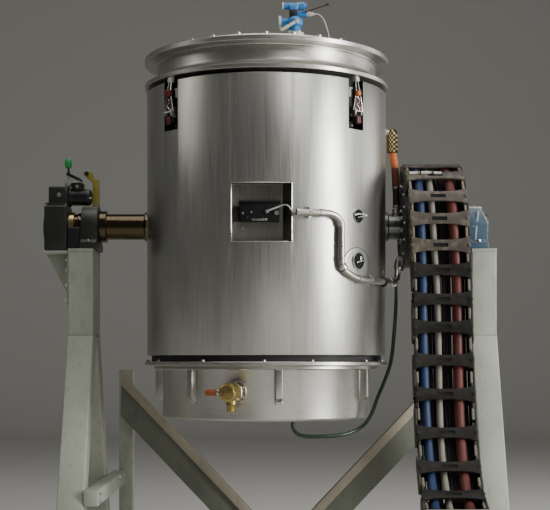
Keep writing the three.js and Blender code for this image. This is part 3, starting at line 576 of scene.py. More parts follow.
# %% [markdown]
# Paint is smooth on steel plate but never perfectly even: it has a faint orange peel, small chips down
# to primer or metal, and dust that settles on faces that look up. The dust reads the surface normal,
# so it stays with the piece from every side.


# %% Paints
def machine_paint(name, tone, roughness, chip, chips, dust=0.25):
    """Machine enamel with orange peel, uneven gloss, a few chips and dust on upward faces."""
    material, graph, shader = new_finish(name, tone, roughness)
    clouds = noise(graph, 3.2, (1, 1, 0.7), 5)
    darker = [v * 0.78 for v in tone]
    lighter = [min(1, v * 1.12) for v in tone]
    colour = tinted(graph, clouds, darker, lighter, 0.3, 0.68)
    rub = noise(graph, 26, (1, 1, 0.35), 6)
    colour = mixed(graph, spread(graph, rub, 0.56, 0.72, 0, 0.5), colour, [v * 0.62 for v in tone])
    if chips:
        flakes = noise(graph, 38, detail=3)
        share = spread(graph, flakes, 0.715 - chips, 0.722 - chips, 0, 1)
        colour = mixed(graph, share, colour, chip)
    if dust:
        facing = node(graph, "SeparateXYZ", Vector=node(graph, "NewGeometry").outputs["Normal"])
        on_top = spread(graph, facing.outputs["Z"], 0.35, 0.95, 0, dust)
        settled = summed(graph, on_top, spread(graph, clouds, 0.3, 0.7, 0.4, 1.1), "MULTIPLY")
        colour = mixed(graph, settled, colour, (0.36, 0.33, 0.28))
    graph.links.new(colour, shader.inputs["Base Color"])
    gloss = spread(graph, rub, 0.3, 0.7, roughness - 0.06, roughness + 0.14)
    graph.links.new(gloss, shader.inputs["Roughness"])
    raised(graph, shader, noise(graph, 320, detail=2), 0.12, 0.5)
    return material


PAINTS = {
    "frame": ("grey frame paint", (0.37, 0.39, 0.33), 0.42, (0.24, 0.23, 0.21), 0.012),
    "brace": ("warm grey brace paint", (0.36, 0.33, 0.25), 0.5, (0.22, 0.2, 0.17), 0.014),
    "brace_web": ("dark grey-green paint", (0.15, 0.16, 0.125), 0.5, (0.22, 0.2, 0.17), 0.01),
    "bearing": ("dark green-grey bearing paint", (0.022, 0.026, 0.02), 0.38, (0.2, 0.18, 0.12), 0.006),
    "bearing_top_sheen": ("dusty tan paint", (0.24, 0.20, 0.12), 0.5, (0.12, 0.1, 0.07), 0.01),
    "bearing_rib": ("light grey-blue paint", (0.26, 0.31, 0.34), 0.4, (0.2, 0.2, 0.2), 0.006),
    "right_bearing": ("steel blue bearing paint", (0.045, 0.085, 0.13), 0.4, (0.34, 0.36, 0.36), 0.008),
    "dark_cast": ("dark red enamel", (0.12, 0.016, 0.010), 0.4, (0.2, 0.16, 0.13), 0.01),
    "orange_cast": ("orange enamel", (0.56, 0.17, 0.04), 0.38, (0.3, 0.26, 0.22), 0.012),
    "shade_black": ("dark hollow", (0.008, 0.008, 0.008), 0.7, None, 0.0, 0.0),
    "black": ("black enamel", (0.012, 0.012, 0.014), 0.36, (0.16, 0.15, 0.14), 0.004),
    "box_black": ("matt black enamel", (0.007, 0.007, 0.008), 0.55, (0.1, 0.1, 0.09), 0.002, 0.08),
    "drum_paint": ("dark drum paint", (0.03, 0.028, 0.026), 0.5, (0.18, 0.15, 0.11), 0.014),
    "blue": ("blue enamel", (0.03, 0.19, 0.47), 0.3, (0.5, 0.52, 0.52), 0.006, 0.16),
    "green": ("green plug", (0.02, 0.32, 0.08), 0.35, None, 0.0, 0.0),
    "olive": ("olive yellow paint", (0.27, 0.23, 0.035), 0.42, (0.12, 0.1, 0.06), 0.01),
}
for name, values in PAINTS.items():
    finish[name] = machine_paint(*values)
print("paints:", len(PAINTS))

# %% [markdown]
# Rubber and moulded plastic are matt, with a fine grain, tones that drift a little, and dust or wear in
# patches. A steel braid has wires that cross, so two sets of bands are multiplied: where both are high
# there is a bright spot, and elsewhere a dark gap.


# %% Rubber, plastic and sheaths
def moulded(name, tone, roughness, fleck, grit, wear=None):
    """Moulded rubber or plastic: matt, faintly grained, dusty in patches."""
    material, graph, shader = new_finish(name, tone, roughness)
    clouds = noise(graph, 5.5, detail=5)
    drift = fleck * 2.4
    darker = [v * (1 - drift) for v in tone]
    lighter = [min(1, v * (1 + drift)) for v in tone]
    colour = tinted(graph, clouds, darker, lighter, 0.3, 0.7)
    if wear:
        worn = spread(graph, noise(graph, 22, detail=6), 0.5, 0.68, 0, 0.55)
        colour = mixed(graph, worn, colour, wear)
    graph.links.new(colour, shader.inputs["Base Color"])
    gloss = spread(graph, clouds, 0.3, 0.7, roughness - 0.08, roughness + 0.1)
    graph.links.new(gloss, shader.inputs["Roughness"])
    raised(graph, shader, noise(graph, 420, detail=3), grit, 0.5)
    return material


def braided(name, wire, gap, scale=260):
    """A hose's steel braid: two sets of wires that cross."""
    material, graph, shader = new_finish(name, wire, 0.34, 0.85)
    lays = []
    for turn in (0.72, -0.72):
        coordinates = node(graph, "TexCoord").outputs["Object"]
        mapping = node(graph, "Mapping", Vector=coordinates, Rotation=(turn, turn, 0))
        wires = node(graph, "TexWave", Vector=mapping.outputs["Vector"], Scale=scale / 6, Distortion=0.4)
        wires.bands_direction = "Z"
        lays.append(wires.outputs["Fac"])
    weave = summed(graph, lays[0], lays[1], "MULTIPLY")
    graph.links.new(tinted(graph, weave, gap, wire, 0.08, 0.5), shader.inputs["Base Color"])
    raised(graph, shader, weave, 0.6, 0.8)
    return material


MOULDED = {
    "pale_highlight_steel": ("pale worn steel", (0.66, 0.64, 0.56), 0.3, 0.06, 0.1),
    "gasket": ("black gasket rubber", (0.016, 0.016, 0.016), 0.7, 0.1, 0.3),
    "chain": ("dusty chain plastic", (0.055, 0.046, 0.036), 0.5, 0.14, 0.25, (0.17, 0.14, 0.10)),
    "chain_side": ("chain side plastic", (0.022, 0.02, 0.018), 0.46, 0.14, 0.25, (0.09, 0.075, 0.055)),
    "chain_shaded": ("dark chain plastic", (0.014, 0.013, 0.011), 0.5, 0.14, 0.25, (0.035, 0.03, 0.024)),
    "chain_pin": ("pale chain pin", (0.17, 0.15, 0.11), 0.5, 0.1, 0.2, (0.09, 0.08, 0.06)),
    "grip": ("dark red moulded grip", (0.080, 0.019, 0.016), 0.34, 0.1, 0.2),
    "tongue": ("red-brown tongue", (0.060, 0.018, 0.010), 0.5, 0.1, 0.2),
    "orange_grip": ("orange-brown grip", (0.30, 0.07, 0.02), 0.4, 0.08, 0.2),
    "sleeve": ("orange heat sleeve", (0.56, 0.14, 0.03), 0.7, 0.14, 0.5),
    "shaded_sleeve": ("red-brown heat sleeve", (0.15, 0.04, 0.022), 0.7, 0.16, 0.5),
    "hose_blue": ("blue hose", (0.007, 0.027, 0.085), 0.55, 0.08, 0.1),
    "hose_white": ("off-white hose", (0.56, 0.54, 0.46), 0.4, 0.08, 0.1, (0.34, 0.31, 0.25)),
    "hose_red": ("dark red hose", (0.09, 0.014, 0.011), 0.55, 0.08, 0.1),
    "white_hose_shaded": ("grey hose", (0.20, 0.19, 0.155), 0.6, 0.08, 0.1, (0.16, 0.14, 0.11)),
    "cable": ("dark green sheath", (0.014, 0.04, 0.018), 0.34, 0.08, 0.1),
    "lead": ("pale lead", (0.40, 0.44, 0.38), 0.35, 0.06, 0.1),
}
for name, values in MOULDED.items():
    finish[name] = moulded(*values)
finish["braid"] = braided("brass braid", (0.62, 0.49, 0.24), (0.05, 0.035, 0.02), 115)
finish["dark_braid"] = braided("dark steel braid", (0.16, 0.13, 0.09), (0.03, 0.025, 0.02))
for look in ("box_black", "shade_black", "chain_shaded"):
    finish[look].node_tree.nodes["Principled BSDF"].inputs["Specular IOR Level"].default_value = 0.2
print("all finishes:", len(finish))

# %% [markdown]
# A finished piece is smoothed by angle, so that flat faces stay flat and only round ones are shaded
# round. Then it is tied to the body that it moves with, and the node of the frame that it stands for is
# hidden.


# %% Finishing a piece
def finished(piece, stands_for=None, body="vessel"):
    """Smooths a piece, ties it to its body, and hides the node that it stands for, if there is one."""
    only(piece)
    bpy.ops.object.shade_smooth_by_angle(angle=math.radians(32))
    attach(piece, body)
    if stands_for:
        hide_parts(stands_for)
    return piece


def coat(piece, look):
    """Gives a piece, or a part before it is joined to others, one finish all over."""
    piece.data.materials.clear()
    piece.data.materials.append(finish[look])
    return piece


def coat_faces(piece, look, wanted):
    """Gives some faces, picked by their middle in mm, a finish of their own."""
    piece.data.materials.append(finish[look])
    slot_number = len(piece.data.materials) - 1
    for face in piece.data.polygons:
        if wanted(*((face.center - tilt_axis) * 1000)):
            face.material_index = slot_number
    return piece


# %% [markdown]
# A machine has a few sizes of bolt, each seen dozens of times. One of each is modelled at the origin,
# pointing up and with few faces, and copies are turned to where they are needed.


# %% Bolts, nuts and screws to copy
def hex_head(name, across, height, washer=True):
    """A hexagon head on its washer, made at the origin and pointing up."""
    bpy.ops.object.select_all(action="DESELECT")
    bpy.ops.mesh.primitive_cylinder_add(vertices=6, radius=across / 1732, depth=height / 1000,
        location=(0, 0, height / 2000 + 0.0015))
    head = settle(bpy.context.object)
    round_edges(head, height * 0.09, 1)
    if washer:
        ring = turned("washer", [(0, 0), (across * 0.72, 0), (across * 0.72, 1.5), (0, 1.5)], steps=20)
        head = joined(name, head, ring)
    head.name = name
    return coat(head, "bolt")


def socket_screw(name, radius, height):
    """A round cap screw with a socket, made at the origin and pointing up."""
    screw = turned(name, [(0, height * 0.45), (radius * 0.5, height * 0.45), (radius * 0.5, height),
        (radius * 0.9, height), (radius, height * 0.88), (radius, 0), (0, 0)], steps=16)
    return coat(screw, "bolt")


def anchor_stud(name, size):
    """A threaded stud with its nut and washer, for a foot plate."""
    nut = hex_head("nut", size * 1.6, size * 0.8)
    ridges = [(size * (0.5 if i % 2 else 0.45), size * (0.8 + i * 0.08)) for i in range(12)]
    stud = turned("stud", [(0, 1), (size * 0.45, 1), *ridges, (size * 0.35, size * 1.8), (0, size * 1.8)],
        steps=12)
    return joined(name, nut, coat(stud, "bolt"))


large_bolt = hex_head("large_bolt", 30, 15)
middle_bolt = hex_head("middle_bolt", 20, 10)
small_bolt = hex_head("small_bolt", 13, 7)
cap_screw = socket_screw("cap_screw", 7, 7)
foot_stud = anchor_stud("foot_stud", 24)
masters = [large_bolt, middle_bolt, small_bolt, cap_screw, foot_stud]
print("bolts to copy:", [piece.name for piece in masters])

# %% [markdown]
# ## The jacket
#
# The jacket is one tall drum of stainless sheet over insulation. Its top and bottom edges are rolled
# over, so the profile that is spun has rounded corners. The instrument niche and the four recesses for
# the toggle clamps are cut out of it. Their cut faces stand for trays set into the sheet, and get darker
# finishes of their own as painted shade, the shade that falls inside the openings. A thin rolled lip
# round each opening catches the light.

# %% Jacket shell
JACKET = 785
CLAMP_ANGLES = {"front_left": -49, "front_right": 45.5, "rear_right": 131, "rear_left": -134.5}
shell = turned("jacket_shell", [(650, -850), (778, -850), (783, -848), (785, -843), (785, 855), (783, 860),
    (778, 862), (650, 862), (650, -850)], CROSSING, steps=192)
niche_room = block("niche_room", (-209, -900, -163), (104, -690, 193))
shift(niche_room, lambda x, y, z: x > 100 and y < -890, (146.8, 0, 0))
recess_rooms = []
for angle in CLAMP_ANGLES.values():
    recess_rooms.append(swung(block("recess_room", (-70, -900, 550), (70, -705, 900)), angle))
cut(shell, niche_room, *recess_rooms)
coat(shell, "cladding")
# The walls of the clamp recesses are near-black: painted shade.
coat_faces(shell, "recess", lambda x, y, z: z > 540 and 651 < math.hypot(x, y) < 780 and z < 861)
coat_faces(shell, "niche", lambda x, y, z: -170 < z < 200 and -215 < x < 165 and -775 < y < -680)
# The niche's right wall and its top wall get a darker finish: painted shade.
coat_faces(shell, "niche_shade", lambda x, y, z: -160 < z < 190 and 106 < x < 157 and -766 < y < -692)
coat_faces(shell, "niche_shade", lambda x, y, z: 186 < z < 200 and -215 < x < 165 and -783 < y < -680)
print("jacket faces:", len(shell.data.polygons))


# %% Rolled lips round the openings
def on_jacket(x, height, radius=786):
    """A point on the jacket's front, by its X and height."""
    return (x, -math.sqrt(radius ** 2 - x ** 2), height)


def along_outline(corners, steps):
    """Points along a closed flat outline, the same number on each of its sides."""
    sides = zip(corners, corners[1:] + corners[:1])
    return [(u0 + (u1 - u0) * i / steps, v0 + (v1 - v0) * i / steps)
        for (u0, v0), (u1, v1) in sides for i in range(steps)]


niche_corners = [(-209, 193), (159, 193), (159, -163), (-209, -163)]
lip_line = [on_jacket(x, z) for x, z in along_outline(niche_corners, 12)]
niche_lip = coat(tube("niche_lip", lip_line, 3.6, 3, closed=True), "bright")
recess_lips = []
for angle in CLAMP_ANGLES.values():
    line = [on_jacket(x, z) for x, z in ((-70, 858), (-70, 552), (0, 550), (70, 552), (70, 858))]
    recess_lips.append(swung(coat(tube("recess_lip", line, 1.6, 2), "flange"), angle))
print("lips round openings:", 1 + len(recess_lips))

# %% [markdown]
# A drum this size is closed with a lap seam. The photograph shows the front without one, so it runs up
# the back, with a row of screws. Round each trunnion a low collar is welded to the jacket.

# %% Lap seam and boss welds
seam = block("lap_seam", (-32, -787.5, -845), (32, -783, 857), 1)
swung(coat(seam, "cladding"), 180)
seam_screws = [(spot(787, 178.2, z), outward(178.2)) for z in range(-800, 850, 110)]
seam_row = set_out("seam_screws", small_bolt, seam_screws)
boss_welds = []
for side in (-1, 1):
    ring = [on_circle(99, i * 360 / 64) for i in range(64)]
    ring = [(side * math.sqrt(JACKET ** 2 - y ** 2), y, z) for y, z in ring]
    boss_welds.append(coat(weld_bead("boss_weld", ring, 4), "flange"))
jacket = joined("jacket_shell", shell, niche_lip, *recess_lips, seam, seam_row, *boss_welds)
finished(jacket, "jacket")
print("jacket:", size_of(jacket), "m")

# %% [markdown]
# ## Base of the vessel
#
# Under the jacket there is a dark shadow gap, then a plain ring with bolt heads in the gap, then the
# lower drum with its welded brackets. All of it is turned, so each part is one spun profile.

# %% Floor plate, bottom ring and its bolts
# The floor plate's rim in the gap is black: painted shade under the jacket.
floor_plate = turned("floor_plate_rim", [(0, -888), (755, -888), (755, -851), (0, -851)], CROSSING)
finished(coat(floor_plate, "gasket"), "floor_plate")
ring = turned("ring_flange", [(0, -913), (797, -913), (800, -910), (800, -892), (797, -889), (0, -889)],
    CROSSING, steps=160)
ring_weld = turned("ring_weld", [(738, -919), (744, -914), (750, -912.8), (736, -912.8), (738, -919)],
    CROSSING, steps=120)
ring = joined("ring_flange", coat(ring, "flange"), coat(ring_weld, "flange"))
finished(ring, "bottom_ring")
BOLT_ANGLES = (-60.2, -29.5, -0.7, 21.3, 53.2, 67.4, 98, 128, 158, 188, 218, 248, 276)
bolt_places = [(spot(780, angle, -889), UP) for angle in BOLT_ANGLES]
ring_bolts = set_out("ring_bolts", middle_bolt, bolt_places)
finished(ring_bolts)
print("bolts round the ring:", len(bolt_places))

# %% [markdown]
# The lower drum is a rolled shell with a dished edge below and a thin flange above. It is spun from one
# profile, and the grain of its finish runs round it, as it does on rolled sheet.

# %% Lower drum
drum = turned("lower_drum_shell", [(0, -1238), (619, -1238), (619, -1256), (622, -1258), (664, -1258),
    (674, -1254.5), (680, -1247), (681, -1240), (681, -944), (684, -938), (690, -936), (738, -936),
    (740, -934), (740, -916), (738, -914), (0, -914)], CROSSING, steps=160)
finished(coat(drum, "drum"), "lower_drum")
print("lower drum:", size_of(drum), "m")


# %% [markdown]
# The brackets are short folded channels. One is modelled at the front: a block whose lower front edge
# is lifted to slope back to the drum, with its front face inset and pushed in to leave the two webs.
# It is then copied round the drum, once for each node that it stands for.

# %% Drum brackets
bracket = block("drum_bracket", (-20, -734.3, -1153), (20, -681.3, -936.6))
shift(bracket, lambda x, y, z: y < -730 and z < -1100, (0, 0, 38))
pick(bracket, "FACE", lambda x, y, z: z < -1110)
bpy.ops.mesh.inset(thickness=0.005, depth=0)
bpy.ops.mesh.extrude_region_move(TRANSFORM_OT_translate={"value": (0, 0, 0.012)})
done()
round_edges(bracket, 3.2, 3)
bracket_weld = weld_bead("bracket_weld", [(-21, -682, -1148), (-22, -682, -943), (-20, -700, -937),
    (-20, -733, -937), (20, -733, -937), (20, -700, -937), (22, -682, -943), (21, -682, -1148)], 3.2,
    closed=False)
bracket_bolt = place(copy_of(small_bolt, "bracket_bolt"), (6, -700, -1128), (0, -0.58, -0.81))
bracket = joined("drum_bracket", coat(bracket, "drum"), coat(bracket_weld, "flange"), bracket_bolt)
BRACKET_ANGLES = (6.5, 62, 113, 164, 215.5, 267, 319.8)
for number, angle in enumerate(BRACKET_ANGLES, start=1):
    one = copy_of(bracket, f"welded_bracket_{number}")
    swung(one, angle)
    finished(one, f"drum_bracket_{number}")
bpy.data.objects.remove(bracket)
print("brackets:", len(BRACKET_ANGLES))

# %% [markdown]
# ## Lid
#
# The lid collar is a spool: a clamp ring below, a neck, and the wide rim on top, with small weld
# fillets in the corners. Above it lies the domed head, which the photograph hides. It gets what such a
# head has: a ring of bolts, a manway with its own cover, a nozzle for the vent valve and an air port.

# %% Gasket and collar
# The gasket is black rubber, and its black also paints the shade in the gap under the collar.
gasket = turned("gasket_ring", [(652, 862.4), (700, 862.4), (700, 885.6), (652, 885.6), (652, 862.4)],
    CROSSING)
finished(coat(gasket, "gasket"), "lid_gasket")
collar = turned("collar_spool", [(650, 886), (797, 886), (800, 889), (800, 911), (797, 914), (764, 914),
    (750, 917), (737, 926), (726, 940), (720, 955), (718, 970), (718, 1036), (720.5, 1038), (721, 1041),
    (720, 1044), (722, 1049), (728, 1052), (796, 1052), (800, 1056), (800, 1081), (795, 1086), (650, 1086),
    (650, 886)], CROSSING, steps=192)
coat_faces(coat(collar, "flange"), "bright", lambda x, y, z: 1036 < z < 1044 and math.hypot(x, y) < 722)
finished(collar, "lid_collar")
print("lid collar:", size_of(collar), "m")

# %% Head with manway, nozzle and air port
LID_BASE = 1086.3
VALVE, MANWAY = (188, 0, 0), (-170, 120, 0)
quarter = [i / 24 * math.pi / 2 for i in range(24)]
dome_out = [(620 * math.cos(t), LID_BASE + 30 + 70 * math.sin(t)) for t in quarter] + [(0, LID_BASE + 100)]
dome_in = [(600 * math.cos(t), LID_BASE + 70 * math.sin(t)) for t in quarter] + [(0, LID_BASE + 70)]
head = turned("lid_dome", dome_in[::-1] + [(687, LID_BASE), (690, LID_BASE + 3), (690, LID_BASE + 26),
    (686, LID_BASE + 30)] + dome_out, CROSSING, steps=128)
dome_weld = turned("dome_weld", [(612, 1116), (634, 1116.2), (627, 1121), (619, 1129), (612, 1116)],
    CROSSING, steps=120)
nozzle = turned("nozzle", [(0, 1150), (48, 1150), (48, 1238), (51, 1241), (52, 1244), (52, 1261),
    (51, 1262), (0, 1262)], VALVE, steps=64)
nozzle_weld = turned("nozzle_weld", [(46, 1176), (60, 1180), (54, 1187), (46, 1194), (46, 1176)], VALVE,
    steps=48)
manway_neck = turned("manway_neck", [(0, 1163), (138, 1163), (138, 1190), (149, 1192), (150, 1202),
    (149, 1203), (0, 1203)], MANWAY, steps=80)
manway_cover = turned("manway_cover", [(0, 1204), (148, 1204), (150, 1206), (150, 1213), (147, 1216),
    (0, 1216)], MANWAY, steps=80)
air_port = turned("air_port", [(0, 1154), (20, 1154), (20, 1186), (11, 1190), (11, 1222), (14, 1224),
    (14, 1246), (12, 1250), (0, 1250)], (412, 0, 0), steps=32)
head = joined("lid_dome", *[coat(piece, "flange") for piece in (head, dome_weld, nozzle, nozzle_weld,
    manway_neck, manway_cover, air_port)])
head_bolts = circle_of("head_bolts", large_bolt, (0, 0, 1116.3), 656, 24, UP)
cover_bolts = circle_of("cover_bolts", middle_bolt, (-170, 120, 1216), 128, 10, UP)
handle = tube("cover_handle", smooth_line([(-225, 120, 1214), (-225, 120, 1238), (-212, 120, 1250),
    (-170, 120, 1252), (-128, 120, 1250), (-115, 120, 1238), (-115, 120, 1214)], 30), 7, 4)
head = joined("lid_dome", head, head_bolts, cover_bolts, coat(handle, "bright"))
finished(head, "lid_head")
print("lid head:", size_of(head), "m")

# %% [markdown]
# ## Toggle clamps
#
# Each clamp pulls a hook under the clamp ring down with two bright rods. They come from a cast head at
# the top of a tapered tongue, with a bent wire lying on it, and a pale bar and a moulded handle end the
# tongue below. It is modelled at the front, at 0 degrees, and swung to its place round the vessel. The
# cast head of the clamp at the front right is small and orange, the others are dark red.


# %% The clamps
def toggle_clamp(where, angle, cast):
    """One toggle clamp at the vessel's front, swung to its angle."""
    inner = 1 if "left" in where else -1
    # The mounting plate inside the recess is near-black: painted shade.
    parts = [coat(block("mount_plate", (-43, -717, 576), (43, -705.4, 834), 4, 3), "recess")]
    parts.append(grid_of("plate_screws", cap_screw, (-34, 34), [-717], (588, 822), FRONT))
    parts.append(coat(block("base", (-23, -790, 602), (23, -716, 672), 7, 3), "black"))
    for x in (-30, 24):
        parts.append(coat(plate("cheek", [(-812, 668), (-808, 642), (-790, 628), (-718, 622), (-716, 690),
            (-760, 696), (-800, 690)], x, 6, "X", 1.5), "bolt"))
    pin = turned("pin", [(0, -34), (7, -34), (8, -32), (8, 32), (7, 34), (0, 34)], (0, -768, 640), RIGHT,
        steps=24)
    handle = block("handle", (-20, -814, 584), (20, -789, 634), 9, 4)
    shift(handle, lambda x, y, z: z < 600 and y > -800, (0, -5, 0))
    tongue = plate("tongue", [(-41, 668), (41, 668), (22, 757), (-22, 757)], -799, 11, "Y", 3.5, 3)
    parts += [coat(pin, "bolt"), coat(handle, "grip"), coat(tongue, "tongue")]
    for side in (-1, 1):
        # Bright tubes along the tongue's two edges: painted edge highlights.
        edge = [(side * 43, -800, 664), (side * 34, -801, 708), (side * 24, -802, 756)]
        rod = [(side * 8, -784, 868), (side * 12, -793, 828), (side * 17, -803, 784)]
        parts.append(coat(tube("edge_highlight", smooth_line(edge, 8), 3.2, 3), "bright"))
        parts.append(coat(tube("pull_rod", smooth_line(rod, 8), 4.5, 4), "bright"))
    # A near-black plate behind the rods: painted shade.
    parts.append(coat(plate("rod_shade", [(-15, 786), (15, 786), (9, 866), (-9, 866)], -784, 12, "Y"),
        "shade_black"))
    bent = [(-14, -803, 752), (0, -805, 744), (13, -805, 730), (2, -805, 716), (-13, -805, 704),
        (2, -805, 690), (12, -804, 676)]
    parts.append(coat(tube("bent_wire", smooth_line(bent, 40), 2.1, 3), "bright"))
    # The bar is pale: a painted highlight of the lamps on its steel.
    bar = turned("bar", [(0, -36), (3, -36), (4.6, -34), (4.6, 34), (3, 36), (0, 36)], (0, -811, 662),
        RIGHT, steps=24)
    parts.append(coat(bar, "pale_highlight_steel"))
    reach, front = (25, -825) if cast == "dark_cast" else (18, -818)
    head_cast = block("head_cast", (-reach, front, 756), (reach, -785, 756 + 1.8 * reach), 11, 5)
    parts.append(coat(head_cast, cast))
    hook = plate("hook", [(-800, 849), (-768, 849), (-768, 885.5), (-788, 885.5), (-797, 880), (-800, 868)],
        -15, 30, "X", 2.5)
    parts.append(coat(hook, "hose_white"))
    catch_x = inner * 56
    catch = block("catch", (catch_x - 11, -785, 748), (catch_x + 11, -764, 807), 3)
    parts.append(coat(catch, "frame"))
    parts.append(place(copy_of(small_bolt, "catch_bolt"), (catch_x, -784, 798), FRONT))
    return swung(joined(f"toggle_clamp_{where}", *parts), angle)


for where, angle in CLAMP_ANGLES.items():
    one = toggle_clamp(where, angle, "orange_cast" if where == "front_right" else "dark_cast")
    finished(one, f"clamp_{where}")
print("clamps:", len(CLAMP_ANGLES))

# %% [markdown]
# ## Trunnions and the chain drum
#
# The trunnions are the shafts that the vessel hangs on. Each leaves the jacket through a low collar. The
# right one carries the dark drum that the energy chain winds on.

# %% Trunnions
# Both shafts are darkened steel: a painted reflection of a dark room.
left_shaft = turned("left_shaft", [(0, 740), (96, 740), (98, 744), (98, 796), (92, 802), (87, 802),
    (85, 804), (85, 1048), (87, 1050), (102, 1050), (105, 1053), (105, 1093), (102, 1096), (87, 1096),
    (85, 1098), (85, 1218), (92, 1222), (92, 1236), (85, 1240), (85, 1260), (96, 1261), (98, 1263),
    (98, 1295), (96, 1297), (85, 1298), (85, 1394), (79, 1400), (24, 1400), (22, 1392), (0, 1392)],
    CROSSING, LEFT)
right_shaft = turned("right_shaft", [(0, 740), (96, 740), (98, 744), (98, 796), (92, 802), (87, 802),
    (85, 804), (85, 1450), (79, 1456), (24, 1456), (22, 1448), (0, 1448)], CROSSING, RIGHT)
coat_faces(coat(left_shaft, "turned"), "gold", lambda x, y, z: -1298 < x < -1259 and math.hypot(y, z) > 86)
finished(left_shaft, "left_trunnion")
finished(coat(right_shaft, "dark_reflection_steel"), "right_trunnion")
print("shafts:", size_of(left_shaft), "and", size_of(right_shaft), "m")

# %% [markdown]
# The chain drum is a spool of painted steel on the right shaft: a hub, two rims and a barrel between
# them. One closed profile gives all of it, and two rings of bolts sit on the side of the vessel.

# %% Chain drum
winding = turned("winding_drum", [(85.4, 890), (118, 890), (121, 895), (121, 902), (250, 902), (253, 890),
    (287, 890), (290, 893), (290, 903), (287, 906), (270, 906), (270, 1280), (287, 1280), (290, 1283),
    (290, 1293), (287, 1296), (253, 1296), (250, 1284), (121, 1284), (118, 1296), (85.4, 1296),
    (85.4, 890)], CROSSING, RIGHT, steps=128)
hub_bolts = circle_of("hub_bolts", middle_bolt, (890, 0, 0), 103, 8, LEFT, 0.3)
rim_bolts = circle_of("rim_bolts", small_bolt, (890, 0, 0), 271, 16, LEFT)
winding = joined("winding_drum", coat(winding, "drum_paint"), hub_bolts, rim_bolts)
finished(winding, "chain_drum")
print("chain drum:", size_of(winding), "m")

# %% [markdown]
# ## Things on the jacket
#
# The instrument box hangs in the niche. Its cover is a raised plate with screws, it has a folded lip on
# top against drips, and a pale lead runs from its gland to the end of the conduit.

# %% Instrument box
case = block("case", (-158, -745, -38), (83, -690.4, 78), 3, 3)
cover = block("cover", (-155, -748.2, -35), (80, -744, 72), 1.5, 2)
hood = block("hood", (-164, -756, 73), (89, -690.4, 90.6), 3, 3)
shift(hood, lambda x, y, z: z > 80 and y < -745, (0, 0, -4))
# The bright strip low on the cover is a painted highlight of the box's lower edge.
strip = coat(block("strip", (-86, -750, -33), (10, -747.6, -21), 0.8), "bright")
back_sheet = coat(block("back_sheet", (-206, -692, -160), (103, -690.1, 190)), "niche_back")
# The plate left of the box is near-black: painted shade beside the box.
mounting = coat(block("mounting", (-205, -700, -37), (-158, -692, 57), 2), "recess")
box_nut = place(copy_of(middle_bolt, "box_nut"), (66, -748, 13), FRONT)
box_screws = set_out("box_screws", cap_screw, [((-138, -748, 10), FRONT), ((-86, -748, 17), FRONT),
    ((-142, -692, -77), FRONT)])
gland = turned("gland", [(0, 744), (11, 744), (11, 751), (9, 752), (9, 757), (6.5, 760), (5, 760), (5, 755),
    (0, 755)], (8, 0, 22), FRONT, steps=24)
box_piece = joined("control_box", *[coat(piece, "box_black") for piece in (case, cover, hood)], strip,
    back_sheet, mounting, box_nut, box_screws, coat(gland, "bolt"))
finished(box_piece, "instrument_box")
print("instrument box:", size_of(box_piece), "m")

# %% [markdown]
# The upper port is a round fitting with a raised ring, a dark dish and a bent lever. Its turned parts
# share one seat, which is an angle and a height on the jacket, and the lever is swung to the same angle.

# %% Upper port
UPPER_ANGLE = 46.8
upper_seat = {"centre": (0, 0, 15), "toward": outward(UPPER_ANGLE)}
ring_body = turned("ring_body", [(41, 788), (41, 793), (42, 794), (43.5, 794), (44.5, 792), (44.5, 775),
    (0, 775), (0, 788), (41, 788)], **upper_seat, steps=72)
dish = turned("dish", [(0, 787), (41, 787), (41, 789), (0, 789)], **upper_seat, steps=48)
stem = turned("stem", [(0, 786), (12, 786), (12, 808), (9, 812), (0, 812)], **upper_seat, steps=24)
lever_line = smooth_line([(-40, -791, 19), (-4, -811, 27), (32, -826, 23), (30, -826, 17), (8, -815, 11),
    (-18, -800, 5)], 40)
lever = swung(coat(tube("lever", lever_line, 5, 3), "bright"), UPPER_ANGLE)
# The dish and the stem are near-black: painted shade in the port's hollow.
upper = joined("upper_port_fitting", coat(ring_body, "cladding"), coat(dish, "shade_black"), coat(stem, "recess"),
    lever)
finished(upper, "upper_port")
print("upper port:", size_of(upper), "m")

# %% [markdown]
# The lower port has an oval cover that follows the jacket. It is spun as a flat disc with many rings, so
# that it can be wrapped round the jacket by moving its points, and stretched to the oval on the way.


# %% Lower port
LOWER_ANGLE, LOWER_HEIGHT, COVER_HEIGHT, STRETCH = 46.5, -264, -277, 1.26


def wrapped(piece):
    """Lays a disc that was made flat at the origin, facing up, on the jacket, stretched sideways."""
    for point in piece.data.vertices:
        u, v, out = point.co * 1000
        turn = LOWER_ANGLE + math.degrees(STRETCH * u / JACKET)
        point.co = at(*spot(JACKET + out, turn, COVER_HEIGHT + v))
    return piece


lower_seat = {"centre": (0, 0, LOWER_HEIGHT), "toward": outward(LOWER_ANGLE)}
rings = [(r, 6) for r in range(0, 91, 10)]
cover = wrapped(turned("cover", rings + [(93, 5.4), (95, 3), (95, -12), (0, -12)], steps=96))
seal_edge = wrapped(turned("seal_edge", [(95, -3), (97.5, -2), (98, 1), (96.5, 3.4), (94.5, 3.8), (95, -3)],
    steps=96))
bezel = turned("bezel", [(50, 796), (50, 799), (52, 801), (56, 801), (58, 799), (58, 772), (0, 772),
    (0, 796), (50, 796)], **lower_seat, steps=72)
dish = turned("dish", [(0, 795), (50, 795), (50, 797), (0, 797)], **lower_seat, steps=48)
tap = swung(coat(block("tap", (4, -806, -262), (34, -795, -234), 5, 3), "bright"), LOWER_ANGLE)
tap_line = smooth_line([(-24, -799, -274), (0, -806, -268), (30, -809, -262)], 12)
tap_rod = swung(coat(tube("tap_rod", tap_line, 4, 3), "bright"), LOWER_ANGLE)
